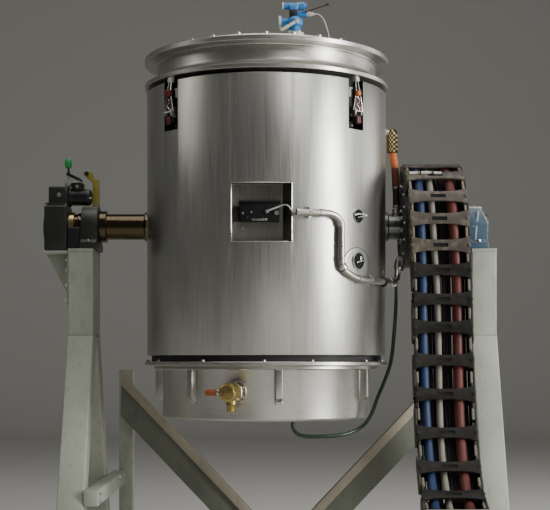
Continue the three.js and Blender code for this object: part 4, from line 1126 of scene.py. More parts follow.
# The dish is near-black: painted shade in the port's hollow.
lower = joined("lower_port_fitting", coat(cover, "cladding"), coat(seal_edge, "gasket"),
    coat(bezel, "cladding"), coat(dish, "shade_black"), tap, tap_rod)
finished(lower, "lower_port")
print("lower port:", size_of(lower), "m")

# %% [markdown]
# The drain is a brass ball valve. Its flange, union and body lie on one axis that points out of the
# drum, and its spout hangs down, with small ridges in its profile for the thread.

# %% Drain valve and its lever
DRAIN_ANGLE, DRAIN_HEIGHT = -15.5, -1075
drain_seat = {"centre": (0, 0, DRAIN_HEIGHT), "toward": FRONT}
flange = turned("drain_flange", [(0, 670), (70, 670), (72, 673), (72, 699), (70, 702), (0, 702)],
    **drain_seat, steps=64)
pipe = turned("drain_pipe", [(46, 690), (46, 716), (44, 718), (44, 726), (46, 732), (57, 732), (60, 735),
    (60, 751), (57, 754), (46, 756), (45, 776), (50, 788), (54, 800), (57, 806), (58, 812), (58, 846),
    (56, 850), (44, 856), (42, 867), (38, 868), (0, 868), (0, 690)], **drain_seat, steps=64)
union = place(hex_head("union", 118, 22, washer=False), (0, -732, DRAIN_HEIGHT), FRONT)
spout_profile = [(0, 20), (34, 20), (36, 2), (34, -20), (34, -46), (31, -50), (31, -72), (34, -75)]
spout_profile += [(28 if i % 2 else 26.5, -75 - i * 2.6) for i in range(16)]
spout = turned("spout", spout_profile + [(26, -118), (20, -118), (20, -95), (0, -95)],
    (0, -778, DRAIN_HEIGHT), UP, steps=48)
drain_screws = circle_of("drain_screws", small_bolt, (0, -701.5, DRAIN_HEIGHT), 59, 6, FRONT, 0.5)
drain = joined("ball_drain", coat(pipe, "brass"), coat(flange, "flange"), coat(union, "bright"),
    coat(spout, "brass"), drain_screws)
finished(swung(drain, DRAIN_ANGLE), "drain_valve")
grip_lever = turned("lever_grip", [(0, 58.6), (15, 58.6), (16, 60), (16, 74), (13, 77), (18, 80), (21, 88),
    (21, 130), (18, 143), (10, 149.6), (0, 150)], (0, -828, DRAIN_HEIGHT), LEFT, steps=40)
coat_faces(coat(grip_lever, "orange_grip"), "bright", lambda x, y, z: x > -77)
finished(swung(grip_lever, DRAIN_ANGLE), "drain_lever")
print("drain valve:", size_of(drain), "m")

# %% [markdown]
# ## Conduit, hoses and leads
#
# The conduit starts with an open, dark end beside the niche, runs round the jacket in clips, turns down
# and then right again, and leaves the jacket for the chain drum. Its route is the one that the frame
# has. The free hoses are tubes along their routes, each as long as its route between its two ends.


# %% Conduit with its clips
CONDUIT_STEPS, CONDUIT_RADIUS = 220, 811
MOUTH = (187, 14)


def beside_jacket(x, z):
    """A point on the conduit's line round the jacket."""
    return on_jacket(x, z, CONDUIT_RADIUS)


conduit_route = [beside_jacket(x, z) for x, z in (MOUTH, (240, 14), (330, 14), (394, 12), (440, -8),
    (461, -50), (463, -130), (463, -250), (466, -294), (484, -328), (520, -354), (562, -373), (604, -381),
    (660, -382), (730, -382))]
conduit_route += [(790, -250, -382), (826, -190, -376), (846, -150, -358), (856, -118, -326),
    (859, -98, -288), (860, -88, -254), (863, -83, -234), (871, -81, -223), (881, -81, -220),
    (889.5, -81, -220)]
conduit_line = smooth_line(conduit_route, CONDUIT_STEPS)
pipe = coat(tube("conduit_pipe", conduit_line, 21, 8), "flange")


def along_conduit(share):
    """A place on the conduit and its direction there."""
    i = min(int(share * (CONDUIT_STEPS - 1)), CONDUIT_STEPS - 2)
    return conduit_line[i], (conduit_line[i + 1] - conduit_line[i]).normalized()


def sleeve(name, share, radius, width, look):
    """A ring round the conduit."""
    centre, direction = along_conduit(share)
    profile = [(20, -width / 2), (radius - 1, -width / 2), (radius, -width / 2 + 1),
        (radius, width / 2 - 1), (radius - 1, width / 2), (20, width / 2), (20, -width / 2)]
    return coat(turned(name, profile, centre, direction, steps=32), look)


def share_near(*where):
    """The place on the conduit's line that lies nearest to a point."""
    nearest = min(range(CONDUIT_STEPS), key=lambda i: (conduit_line[i] - Vector(where)).length)
    return nearest / (CONDUIT_STEPS - 1)


parts = [pipe]
for share in (0.115, 0.225, share_near(*beside_jacket(463, -262)), 0.53, 0.955):
    parts.append(sleeve("coupling", share, 24.5, 30, "flange"))
elbow_share = share_near(*beside_jacket(471, -312))
parts.append(sleeve("elbow_joint", elbow_share, 27, 22, "bright"))
for step in (-0.012, 0.012):
    parts.append(sleeve("joint_ring", elbow_share + step, 26, 5, "gasket"))
parts.append(sleeve("end_fitting", share_near(806, -222, -380), 30, 66, "bright"))
parts.append(sleeve("end_ring", share_near(*beside_jacket(744, -382)), 31, 14, "gasket"))
for share in (0.06, 0.325, 0.62):
    centre, direction = along_conduit(share)
    parts.append(sleeve("clip", share, 23.5, 16, "bright"))
    angle = math.degrees(math.atan2(centre.x, -centre.y))
    foot = block("clip_foot", (-9, -800, centre.z - 34), (9, -783, centre.z + 34), 2)
    parts.append(coat(swung(foot, angle), "bright"))
    parts.append(place(copy_of(small_bolt, "clip_bolt"), spot(800, angle, centre.z + 29), outward(angle)))
start, direction = along_conduit(0)
# The disc inside the open end is near-black: painted shade inside the conduit.
mouth = turned("mouth", [(0, -0.6), (16.5, -0.6), (16.5, 3), (0, 3)], start, direction, steps=32)
lip = turned("mouth_lip", [(16.5, -1.5), (22.5, -1.5), (23, 0), (23, 10), (21, 11), (16.5, -1.5)], start,
    direction, steps=32)
nut = turned("drum_nut", [(0, -22), (27, -22), (29, -20), (29, 0), (33, 1), (33, 11), (31, 13), (0, 13)],
    (889.5, -81, -220), RIGHT, steps=6)
conduit = joined("conduit_run", *parts, coat(mouth, "recess"), coat(lip, "bright"), coat(nut, "bolt"))
finished(conduit, "conduit")
print("conduit:", round(length_of(conduit_line)), "mm long")


# %% Free hoses and leads
def free_hose(name, route, radius, count, look, stands_for):
    """A hose between two fittings: a tube along its route, whose length is printed."""
    line = smooth_line(route, count)
    piece = tube(name, line, radius, 5)
    finished(coat(piece, look), stands_for)
    print(name, "is", round(length_of(line)), "mm long")


CABLE_ROUTE = [(168, -500, -1258.3), (168, -500, -1275), (170, -500, -1300), (195, -500, -1338),
    (250, -500, -1355), (350, -495, -1356), (450, -470, -1352), (550, -415, -1330), (624, -350, -1289),
    (675, -300, -1220), (715, -268, -1120), (762, -255, -1010), (796, -252, -912), (812, -245, -820),
    (822, -225, -730), (834, -180, -630), (844, -125, -540), (852, -70, -450), (856, -34, -370),
    (858, -18, -310), (860, -12, -272), (865, -12, -250), (874, -12, -238), (882, -12, -234),
    (889.7, -12, -234)]
free_hose("green_cable", CABLE_ROUTE, 12, 160, "cable", "drum_cable")
AIR_ROUTE = [(318.3, 0, 1408), (326, 0, 1408), (340, 0, 1406), (360, 0, 1394), (380, 0, 1366),
    (395, 0, 1328), (406, 0, 1290), (411, 0, 1268), (412, 0, 1258), (412, 0, 1250.3)]
free_hose("air_line", AIR_ROUTE, 4, 60, "hose_white", "air_hose")

# %% [markdown]
# The short lead in the niche is held by its gland and by the conduit that it goes into, and the steam
# hose is a stiff braided pipe bolted at both ends, so neither is a free cord. The steam hose has a thick
# brass braid over its upper end, and below it a heat sleeve over the dark braid of the pipe, orange above
# and red-brown below, where the red-brown is painted shade.

# %% Niche lead and steam hose
lead_turn = math.asin(MOUTH[0] / CONDUIT_RADIUS)


def before_conduit(distance):
    """A point just before the conduit's mouth, in line with it."""
    x, y, z = beside_jacket(*MOUTH)
    return (x - distance * math.cos(lead_turn), y - distance * math.sin(lead_turn), z)


LEAD_ROUTE = [(8, -748.6, 22), (8, -756.6, 22), (15, -766, 24), (42, -771, 34), (81, -771, 48),
    (104, -775, 56), (126, -787, 56), (142, -796, 44), (153, -798, 28), before_conduit(20),
    before_conduit(10), before_conduit(1)]
lead = tube("niche_lead", smooth_line(LEAD_ROUTE, 80), 5, 4)
finished(coat(lead, "lead"), "sensor_lead")
SLEEVE_FROM, SLEEVE_TO, LAST_FERRULE = 33, 84, 110
STEAM_ROUTE = [(785.3, 0, 622), (793, 0, 622), (808, 0, 620), (824, 0, 606), (831, 0, 576), (833, 0, 520),
    (838, 0, 470), (846, 0, 420), (852, 0, 350), (856, 0, 250), (858, 0, 160), (858, 0, 110),
    (858, 0, 85.5)]
steam_line = smooth_line(STEAM_ROUTE, 120)
braid = coat(tube("steam_braid", steam_line[14:112], 22, 7), "dark_braid")
elbow = coat(tube("steam_elbow", steam_line[:17], 21, 7), "flange")
# Only the sleeve's upper part is orange; below it is red-brown as painted shade.
sleeve_piece = coat(tube("steam_sleeve", steam_line[SLEEVE_FROM:SLEEVE_TO], 24, 7), "shaded_sleeve")
coat_faces(sleeve_piece, "sleeve", lambda x, y, z: z > 390)
bundle_profile = [(0, 488), (30, 488), (34, 491)]
for i in range(10):
    bundle_profile += [(36, 496 + i * 11), (33.5, 501.5 + i * 11)]
bundle_profile += [(36, 606), (34, 620), (28, 636), (16, 647), (0, 650)]
bundle = coat(turned("steam_bundle", bundle_profile, (833, 0, 0), steps=40), "braid")
ferrules = []
for i in (SLEEVE_FROM, SLEEVE_TO, LAST_FERRULE):
    direction = (steam_line[i + 1] - steam_line[i]).normalized()
    ferrules.append(coat(turned("ferrule", [(0, -7), (24, -7), (26, -5), (26, 5), (24, 7), (0, 7)],
        steam_line[i], direction, steps=36), "bolt"))
flange = coat(turned("steam_flange", [(0, 0), (30, 0), (32, 2), (32, 6), (30, 8), (0, 8)], (784, 0, 622),
    RIGHT, steps=40), "flange")
saddle = coat(turned("steam_saddle", [(0, 78), (27, 78), (27, 96), (25, 100), (25, 118), (0, 118)],
    (858, 0, 0), UP, steps=36), "bolt")
steam = joined("steam_hose_braided", bundle, braid, elbow, sleeve_piece, *ferrules, flange, saddle)
finished(steam, "steam_hose")
print("steam hose:", round(length_of(steam_line)), "mm along its line")

# %% [markdown]
# ## Vent valve
#
# On the lid stands a small blue valve. It is a chain of turned and cast pieces: pale flange, neck, round
# body with a branch to the left, and the actuator on top with a pale-capped cylinder lying across it.

# %% Valve body and actuator
BRANCH, CYLINDER = (188, 0, 1352), (188, 0, 1461)
stem = turned("valve_stem", [(0, 1282), (40, 1282), (40, 1308), (37, 1314), (37, 1322), (50, 1331),
    (52, 1336), (52, 1368), (50, 1372), (38, 1380), (34, 1387), (0, 1387)], VALVE, steps=48)
seat = turned("valve_seat", [(0, 1262.4), (58, 1262.4), (60, 1264), (60, 1280.4), (58, 1282.3),
    (0, 1282.3)], VALVE, steps=48)
branch = turned("valve_branch", [(0, 20), (30, 20), (30, 84), (34, 88), (34, 92), (0, 92)], BRANCH, LEFT,
    steps=40)
branch_flange = turned("branch_flange", [(0, 91), (42, 91), (44, 93), (44, 106), (42, 108), (26, 108),
    (26, 100), (0, 100)], BRANCH, LEFT, steps=48)
seat_bolts = circle_of("seat_bolts", small_bolt, (188, 0, 1282.3), 46, 4, UP, 0.6)
strap = plate("strap", [(93, 1287), (103, 1278), (213, 1345), (209, 1360), (202, 1361), (91, 1296)], -64, 5,
    "Y", 1)
strap_foot = turned("strap_foot", [(0, 44), (6, 44), (6, 66), (4, 68), (0, 68)], (196, 0, 1347), FRONT,
    steps=16)
valve = joined("vent_valve_body", coat(stem, "blue"), coat(seat, "hose_white"), coat(branch, "blue"),
    coat(branch_flange, "hose_white"), seat_bolts, coat(strap, "hose_white"), coat(strap_foot, "bolt"))
finished(valve, "vent_valve")
tower = coat(block("tower", (151, -29, 1430), (205, 29, 1460), 6, 3), "blue")
tower_foot = coat(block("tower_foot", (152, -28, 1388.4), (204, 28, 1434), 4, 2), "black")
cylinder = turned("cylinder", [(0, -85), (20, -85), (22, -82), (22, 20), (0, 20)], CYLINDER, RIGHT, steps=40)
far_cap = turned("far_cap", [(0, 24), (25, 24), (27, 27), (27, 60), (24, 62), (18, 64), (16, 79), (0, 80)],
    CYLINDER, RIGHT, steps=40)
side_block = coat(block("side_block", (200, -19, 1390.5), (270, 19, 1423.5), 5, 3), "blue")
fitting = turned("air_fitting", [(0, 262), (14, 262), (16, 266), (16, 292), (12, 296), (12, 308), (8, 312),
    (8, 318), (4, 318), (0, 314)], (0, 0, 1408), RIGHT, steps=6)
ends = []
for x, width in ((103, 10), (203, 12)):
    ends.append(coat(turned("end_cap", [(0, 0), (22, 0), (24, 2), (24, width - 2), (22, width), (0, width)],
        (x, 0, 1461), RIGHT, steps=40), "hose_white"))
rod = coat(tube("lever_rod", [(242, -22, 1412), (320, -22, 1438), (403, -22, 1466)], 4.5, 3), "black")
knob = coat(turned("knob", [(0, -9), (7, -8), (9, 0), (7, 8), (0, 9)], (405, -22, 1467), (0.95, 0, 0.31),
    steps=20), "black")
actuator = joined("valve_actuator_unit", tower, tower_foot, rod, knob, coat(cylinder, "blue"),
    coat(far_cap, "blue"), side_block, coat(fitting, "hose_white"), *ends)
finished(actuator, "valve_actuator")
print("vent valve:", size_of(valve), "m, its actuator:", size_of(actuator), "m")

# %% [markdown]
# ## Pedestals
#
# Two pedestals of welded box section carry the bearings. Each has a short head column and two legs that
# spread forwards and back, so that it looks like an upturned Y from the side. The two sides are mirror
# images, so each piece is made by a function that takes the middle of its column.


# %% Pedestal heads and legs
COLUMNS = {"left": -1203, "right": 1413}
POSTS = {"left": -1027, "right": 1237}
FLOOR = -2430


def column_head(side, middle):
    """The head column, with its cap plate and the weld beads round both."""
    body = block("body", (middle - 80, -178, -717.8), (middle + 80, 178, -168), 7, 3)
    cap = block("cap", (middle - 82, -180, -170), (middle + 82, 180, -155.5), 2.5)
    corners = [(middle - 81, -179), (middle + 81, -179), (middle + 81, 179), (middle - 81, 179)]
    beads = [weld_bead("bead", [(x, y, height) for x, y in along_outline(corners, 14)], 3)
        for height in (-171, -717)]
    return joined(f"{side}_column_head", body, cap, *beads)


def column_leg(side, name, middle, way):
    """A leg that slopes away from the head (way is -1 forwards, 1 back), with its bolted foot."""
    def out(y):
        return way * y
    outline = [(out(0.4), -718.6), (out(180), -718.6), (out(923), -2414), (out(743.4), -2414)]
    body = plate("body", outline, middle - 82, 164, "X", 7, 3)
    foot_middle = out(833.1)
    foot = block("foot", (middle - 120, foot_middle - 160, FLOOR),
        (middle + 120, foot_middle + 160, FLOOR + 16), 3)
    parts = [body, foot]
    for x in (middle - 96, middle + 88):
        rib = [(out(700), FLOOR + 16), (out(975), FLOOR + 16), (out(975), FLOOR + 30),
            (out(838), FLOOR + 200), (out(800), FLOOR + 200), (out(700), FLOOR + 30)]
        parts.append(plate("rib", rib, x, 8, "X", 1.5))
    leg = coat(joined("body", *parts), "frame")
    studs = grid_of("studs", foot_stud, (middle - 106, middle + 106),
        (foot_middle - 138, foot_middle + 138), [FLOOR + 16], UP)
    return joined(f"{side}_{name}", leg, studs)


for side, middle in COLUMNS.items():
    head_piece = column_head(side, middle)
    finished(coat(head_piece, "frame"), f"{side}_pedestal_head", "root")
    for name, way in (("front_leg", -1), ("rear_leg", 1)):
        leg = column_leg(side, f"spread_{name}", middle, way)
        finished(leg, f"{side}_{name}", "root")
print("pedestals at", COLUMNS)


# %% [markdown]
# The rear posts and the rails are plain square tube, so blocks with rounded edges are enough. What makes
# them look real is how they end: caps, end plates and foot plates, with the bolts in them.


# %% Rear posts and side rails
def rear_post(side, middle):
    """A square post behind the pedestal, with its cap and foot plate."""
    outside = 1 if side == "right" else -1
    body = block("body", (middle - 51, 900, FLOOR + 14), (middle + 51, 1000, -955), 6, 3)
    cap = block("cap", (middle - 51, 900, -957), (middle + 51, 1000, -950), 2)
    edges = sorted((middle + outside * 51, middle - outside * 111))
    foot = block("foot", (edges[0], 880, FLOOR), (edges[1], 1040, FLOOR + 16), 3)
    post = coat(joined("body", body, cap, foot), "frame")
    studs = grid_of("studs", foot_stud, [middle - outside * 88], (900, 1018), [FLOOR + 16], UP)
    return joined(f"{side}_square_post", post, studs)


def side_rail(side, middle):
    """A rail between the pedestal's inner face and the post, with an end plate at its back."""
    inside = 1 if side == "left" else -1
    edges = sorted((middle + inside * 82.5, middle + inside * 172.3))
    body = block("body", (edges[0], -640, -1780), (edges[1], 893, -1680), 8, 3)
    plate_end = block("end_plate", (edges[0], 891, -1780), (edges[1], 899.5, -1680), 2)
    front_cap = block("front_cap", (edges[0] + 3, -643, -1777), (edges[1] - 3, -639.5, -1683), 1)
    rail = coat(joined("body", body, plate_end, front_cap), "frame")
    inner = edges[1] if inside > 0 else edges[0]
    bolts = grid_of("bolts", middle_bolt, [inner], (-560, -500, 500, 560), (-1755, -1705), (inside, 0, 0))
    return joined(f"{side}_long_rail", rail, bolts)


for side, middle in POSTS.items():
    finished(rear_post(side, middle), f"{side}_rear_post", "root")
for side, middle in COLUMNS.items():
    finished(side_rail(side, middle), f"{side}_side_rail", "root")
print("posts at", POSTS)

# %% [markdown]
# Behind the vessel two wide braces fall towards each other and form a V. Each is a deep plate with a
# flange along its upper edge, bolted to the post at the top and to the foot at the bottom.


# %% Braces and their foot
MIDDLE = 105


def brace_edge(offset):
    """Height of a brace's upper edge at a distance from the middle of the frame."""
    return -966 - (1162 - offset) * 1.057


def brace(side):
    """A brace: the deep plate, the flange on its upper edge, and the bolts at its foot."""
    way = 1 if side == "right" else -1

    def strip(name, height, start, depth, edge):
        """A strip along the whole brace, which reaches down from its upper edge."""
        corners = ((231, 0), (1162, 0), (1162, height), (231, height))
        outline = [(MIDDLE + way * offset, brace_edge(offset) - down) for offset, down in corners]
        return plate(name, outline, start, depth, "Y", edge)
    web = strip("web", 318, 836, 63.5, 6)
    flange_piece = strip("flange", 88, 810, 89.5, 5)
    bolts = set_out("bolts", large_bolt, [((MIDDLE + way * offset, 836, brace_edge(offset) - drop), FRONT)
        for offset in (262, 300) for drop in (135, 265)])
    return joined(f"{side}_wide_brace", coat(web, "brace_web"), coat(flange_piece, "brace"), bolts)


for side in ("left", "right"):
    finished(brace(side), f"{side}_brace", "root")
foot_outline = [(MIDDLE + x, z) for x, z in ((-150, -2414), (150, -2414), (229.5, -2270), (229.5, -1952),
    (0, -2194), (-229.5, -1952), (-229.5, -2270))]
foot_plate = plate("foot_plate", foot_outline, 811, 88, "Y", 4)
foot_base = block("foot_base", (MIDDLE - 200, 750, FLOOR), (MIDDLE + 200, 960, FLOOR + 16), 3)
ribs = []
for x in (MIDDLE - 110, MIDDLE + 102):
    ribs.append(plate("rib", [(752, FLOOR + 16), (812, FLOOR + 16), (812, FLOOR + 150), (800, FLOOR + 150),
        (752, FLOOR + 34)], x, 8, "X", 1.5))
foot_piece = coat(joined("body", foot_plate, foot_base, *ribs), "brace")
foot_studs = grid_of("studs", foot_stud, (MIDDLE - 172, MIDDLE + 172), (778, 932), [FLOOR + 16], UP)
plate_bolts = grid_of("bolts", large_bolt, (MIDDLE - 190, MIDDLE + 190), [811], (-2080, -2180), FRONT)
foot_piece = joined("brace_foot_plate", foot_piece, foot_studs, plate_bolts)
finished(foot_piece, "brace_foot", "root")
print("brace foot:", size_of(foot_piece), "m")

# %% [markdown]
# ## Bearings and tilt drive
#
# The bearings are cast pillow blocks: a wide base with four bolts, a round head, and a bright seal ring
# on each side of the shaft. The right one has a rib up its face and narrows towards the top.


# %% Pillow bearings
BORE = 86.6


def pillow_bearing(side, low, high):
    """A pillow block between two X values."""
    arc = [on_circle(135, degrees) for degrees in range(-6, 187, 6)]
    outline = [(-175, -155), (175, -155), (175, -114), (170, -110), (146, -106), (137, -94)] + arc
    outline += [(-137, -94), (-146, -106), (-170, -110), (-175, -114)]
    body = plate("body", outline, low, high - low, "X", 5, 3)
    if side == "right":
        shift(body, lambda x, y, z: x > high - 8 and z > 20, (-14, 0, 0))
        shift(body, lambda x, y, z: x > high - 30 and z > 90, (-12, 0, 0))
    cut(body, turned("bore", [(0, low - 20), (BORE, low - 20), (BORE, high + 20), (0, high + 20)], CROSSING,
        RIGHT, steps=64))
    coat(body, "bearing" if side == "left" else "right_bearing")
    if side == "left":
        # The top of the left head is tan: a painted reflection of the light on its round top.
        coat_faces(body, "bearing_top_sheen", lambda x, y, z: z > 124)
    else:
        # The top of the right head is off-white: a painted highlight on its round top.
        coat_faces(body, "hose_white", lambda x, y, z: z > 114)
    parts = [body]
    for face, way in ((low, -1), (high - (26 if side == "right" else 0), 1)):
        parts.append(coat(turned("seal", [(87, -3), (108, -3), (108, 3), (104, 5), (90, 5), (87, 2),
            (87, -3)], (face, 0, 0), (way, 0, 0), steps=64), "gasket"))
    centre = (low + high) / 2
    bolts = grid_of("bolts", large_bolt, [centre], (-157, 157), [-112], UP)
    cap_bolts = set_out("cap_bolts", small_bolt, [((low, *on_circle(120, degrees)), LEFT)
        for degrees in (20, 70, 110, 160, 250, 290)])
    parts += [bolts, cap_bolts]
    if side == "right":
        rib = block("rib", (low + 46, -142, -108), (low + 60, -122, 60), 3)
        shift(rib, lambda x, y, z: z > 0, (10, 14, 36))
        shift(rib, lambda x, y, z: z < -50, (-12, 0, 0))
        parts.append(coat(rib, "bearing_rib"))
        # A thin off-white tube along the head's slanted edge: a painted highlight.
        edge = tube("edge", [(low + 79, -77, 112), (low + 100, -123, 60), (low + 116, -136, 19)], 3, 3)
        parts.append(coat(edge, "hose_white"))
        nipple = turned("nipple", [(0, 130), (6, 130), (6, 138), (4, 140), (5, 144), (2, 149), (0, 149)],
            (centre - 8, 0, 0), steps=16)
        parts.append(coat(nipple, "brass"))
    return joined(f"{side}_pillow_block", *parts)


for side, (low, high) in {"left": (-1211, -1102), "right": (1318, 1442)}.items():
    finished(pillow_bearing(side, low, high), f"{side}_bearing", "root")
    print(side, "bearing is", high - low, "mm wide")

# %% [markdown]
# The drive stands left of the left bearing, on a welded bracket. The gearbox is a rounded block with a
# round cover and ribs, and a dark casting reaches under the shaft to the bearing. Bores for the shaft are
# cut with turned cutters, as in the bearings.

# %% Drive bracket and gearbox
bracket_plate = block("bracket_plate", (-1303, -120, -520), (-1285.6, 120, -165.5), 3)
shelf = block("shelf", (-1456, -130, -185), (-1285.6, 130, -165.2), 3)
gusset = plate("gusset", [(-1286, -470), (-1286, -186), (-1440, -186), (-1446, -192), (-1300, -470)], -8,
    16, "Y", 2)
drive_frame = coat(joined("body", bracket_plate, shelf, gusset), "frame")
bracket_bolts = grid_of("bolts", middle_bolt, [-1303], (-92, 92), (-490, -390, -290, -220), LEFT)
finished(joined("drive_carrier", drive_frame, bracket_bolts), "drive_bracket", "root")
housing = block("housing", (-1450, -125, -164.5), (-1300.3, 125, 130), 12, 4)
upper_case = block("upper_case", (-1430, -70, 118), (-1300.3, 70, 262), 12, 4)
cut(housing, turned("bore", [(0, 1290), (BORE, 1290), (BORE, 1410), (0, 1410)], CROSSING, LEFT, steps=64))
housing = coat(joined("housing", housing, upper_case), "bearing")
cover = turned("gear_cover", [(0, 1449), (104, 1449), (104, 1455), (100, 1458), (60, 1458), (52, 1454),
    (0, 1454)], (0, 0, -10), LEFT, steps=64)
ribs = [coat(block("rib", (-1446, y - 4, 60), (-1306, y + 4, 150), 2), "bearing") for y in (-92, 92)]
cover_screws = circle_of("screws", cap_screw, (-1456, 0, -10), 92, 8, LEFT)
joint_bolts = grid_of("joint_bolts", small_bolt, (-1440, -1310), (-110, 110), [130], UP)
plug = place(copy_of(middle_bolt, "plug"), (-1360, -70, 205), FRONT)
casting = block("casting", (-1299.5, -115, -155), (-1212, 115, -12), 6, 3)
cut(casting, turned("bore", [(0, 1190), (106, 1190), (106, 1320), (0, 1320)], CROSSING, LEFT, steps=64))
housing = joined("worm_gearbox", housing, coat(cover, "bearing"), coat(casting, "black"), *ribs,
    cover_screws, joint_bolts, plug)
finished(housing, "tilt_gearbox", "root")
print("gearbox:", size_of(housing), "m")

# %% [markdown]
# The motor is one turned profile, with its cooling ribs added by a loop, and a terminal box on top. The
# sensor bracket is a bent flat bar: its outline is drawn from the front and given a depth.

# %% Motor and sensor bracket
motor_profile = [(0, 1152), (30, 1152), (44, 1156), (52, 1164), (54, 1174), (54, 1186), (49, 1187)]
for i in range(13):
    start = 1188 + i * 7
    motor_profile += [(49, start), (54, start + 0.5), (54, start + 3), (49, start + 3.5)]
motor_profile += [(50, 1282), (54, 1284), (54, 1286), (60, 1286), (60, 1298), (58, 1299.5), (0, 1299.5)]
motor = coat(turned("motor", motor_profile, (0, 0, 195), LEFT, steps=48), "black")
terminal_box = coat(block("terminal_box", (-1284, -37, 240), (-1206, 37, 287), 4, 3), "black")
lid = coat(block("lid", (-1282, -35, 279), (-1208, 35, 286.6), 2), "black")
motor_screws = grid_of("screws", cap_screw, (-1275, -1215), (-28, 28), [285], UP)
end_dot = coat(place(copy_of(cap_screw, "end_dot"), (-1158, -43, 187), (0.3, -1, 0)), "hose_white")
cable_gland = coat(turned("cable_gland", [(0, 30), (10, 30), (12, 36), (12, 46), (9, 50), (0, 50)],
    (-1245, 0, 262), FRONT, steps=24), "bolt")
finished(joined("drive_motor", motor, terminal_box, lid, motor_screws, end_dot, cable_gland),
    "tilt_motor", "root")
angle_plate = plate("angle_plate", [(-1149, 135.6), (-1103, 135.6), (-1103, 314), (-1132, 314),
    (-1150, 362), (-1208, 362), (-1208, 346), (-1149, 290)], -6, 12, "Y", 1.5)
foot_tab = block("foot_tab", (-1149, -29, 135.6), (-1103, 29, 143), 2)
sensor_frame = coat(joined("body", angle_plate, foot_tab), "olive")
sensor = coat(turned("sensor", [(0, -26), (9, -26), (11, -23), (11, 12), (14, 13), (14, 18), (0, 18)],
    (-1186, 0, 352), FRONT, steps=24), "black")
sensor_bolts = grid_of("bolts", small_bolt, [-1126], (-16, 16), [143], UP)
finished(joined("sensor_angle", sensor_frame, sensor, sensor_bolts), "sensor_bracket",
    "root")
print("motor:", size_of(motor), "m")

# %% [markdown]
# On the motor and the gearbox lies a small grey junction box with a slanted black lid, and a green plug
# stands at its left end.

# %% Junction box on the drive
junction_box = coat(plate("junction_box", [(-1326, 262.4), (-1302, 262.4), (-1282, 287.2), (-1222, 287.2),
    (-1222, 300), (-1316, 342), (-1326, 342)], -44, 82, "Y", 3), "frame")
slanted_lid = coat(plate("slanted_lid", [(-1314, 358), (-1220, 315), (-1220, 297), (-1228, 297),
    (-1316, 338)], -48, 90, "Y", 3), "black")
lead_line = smooth_line([(-1309, 0, 396), (-1309, 0, 384), (-1307, 0, 368), (-1303, 0, 352),
    (-1301, 0, 342)], 20)
plug_lead = coat(tube("plug_lead", lead_line, 7, 3), "black")
plug = turned("plug", [(0, 0), (15, 0), (21, 5), (23, 12), (23, 44), (18, 56), (10, 64), (0, 66)],
    (-1309, 0, 390), UP, steps=32)
lid_screws = set_out("screws", cap_screw,
    [((x, -44, z), FRONT) for x, z in ((-1312, 276), (-1300, 322), (-1232, 294))])
finished(joined("junction_box_unit", junction_box, slanted_lid, plug_lead, coat(plug, "green"), lid_screws),
    None, "root")
print("junction box:", size_of(junction_box), "m")

# %% [markdown]
# ## Energy chain
#
# The chain is one fixed loop that lies on the drum and hangs down to its stand. Along each side run
# plates that overlap and are pinned together. Crossbars that widen at their ends are snapped onto them
# on both faces, with a pale pin at each side between two bars. Every part is modelled once, upright and
# at the front, and copies are taken to their places on the line.

# %% The chain's parts, modelled upright at the front
CHAIN = {"left": 920, "right": 1304, "pitch": 168}
CHAIN_MIDDLE, JOINT, PLATE_WIDTH = 1112, 84, 13


def side_plate(name, x):
    """A plate with two round ends, one round each of its joints."""
    ends = []
    for centre, first in ((JOINT, 25), (-JOINT, 205)):
        ends += [(y, centre + z) for y, z in [on_circle(51, a) for a in range(first, first + 131, 26)]]
    outline = ends[:6] + [(-43, 40), (-43, -40)] + ends[6:] + [(43, -40), (43, 40)]
    return coat(plate(name, outline, x, PLATE_WIDTH, "X", 2.5, 2), "chain_side")


def chain_bar(name):
    """A crossbar with flared ends, rounded edges and a shallow slot in its middle."""
    half = (CHAIN["right"] - CHAIN["left"]) / 2 - 7
    top = []
    for i in range(17):
        x = -half + 2 * half * i / 16
        top.append((x, 34 + 22 * (abs(x) / half) ** 3))
    outline = [(CHAIN_MIDDLE + x, z) for x, z in top] + [(CHAIN_MIDDLE - x, -z) for x, z in top]
    bar = plate(name, outline, -7, 14, "Y", 3, 2)
    slot_room = block("slot_room", (CHAIN_MIDDLE - 48, -12, -12), (CHAIN_MIDDLE + 48, -2.5, 12), 3)
    cut(bar, slot_room)
    # The faces of the slot are near-black: painted shade in the slot.
    coat_faces(coat(bar, "chain"), "shade_black", lambda x, y, z: abs(x - CHAIN_MIDDLE) < 49 and abs(z) < 13
        and -6.9 < y < -2)
    studs = [coat(turned("stud", [(0, 0), (13, 0), (12, 3), (9, 4.5), (0, 4.5)], (CHAIN_MIDDLE + x, -7, 0),
        FRONT, steps=14), "chain") for x in (-half + 7, half - 7)]
    return joined(name, bar, *studs)


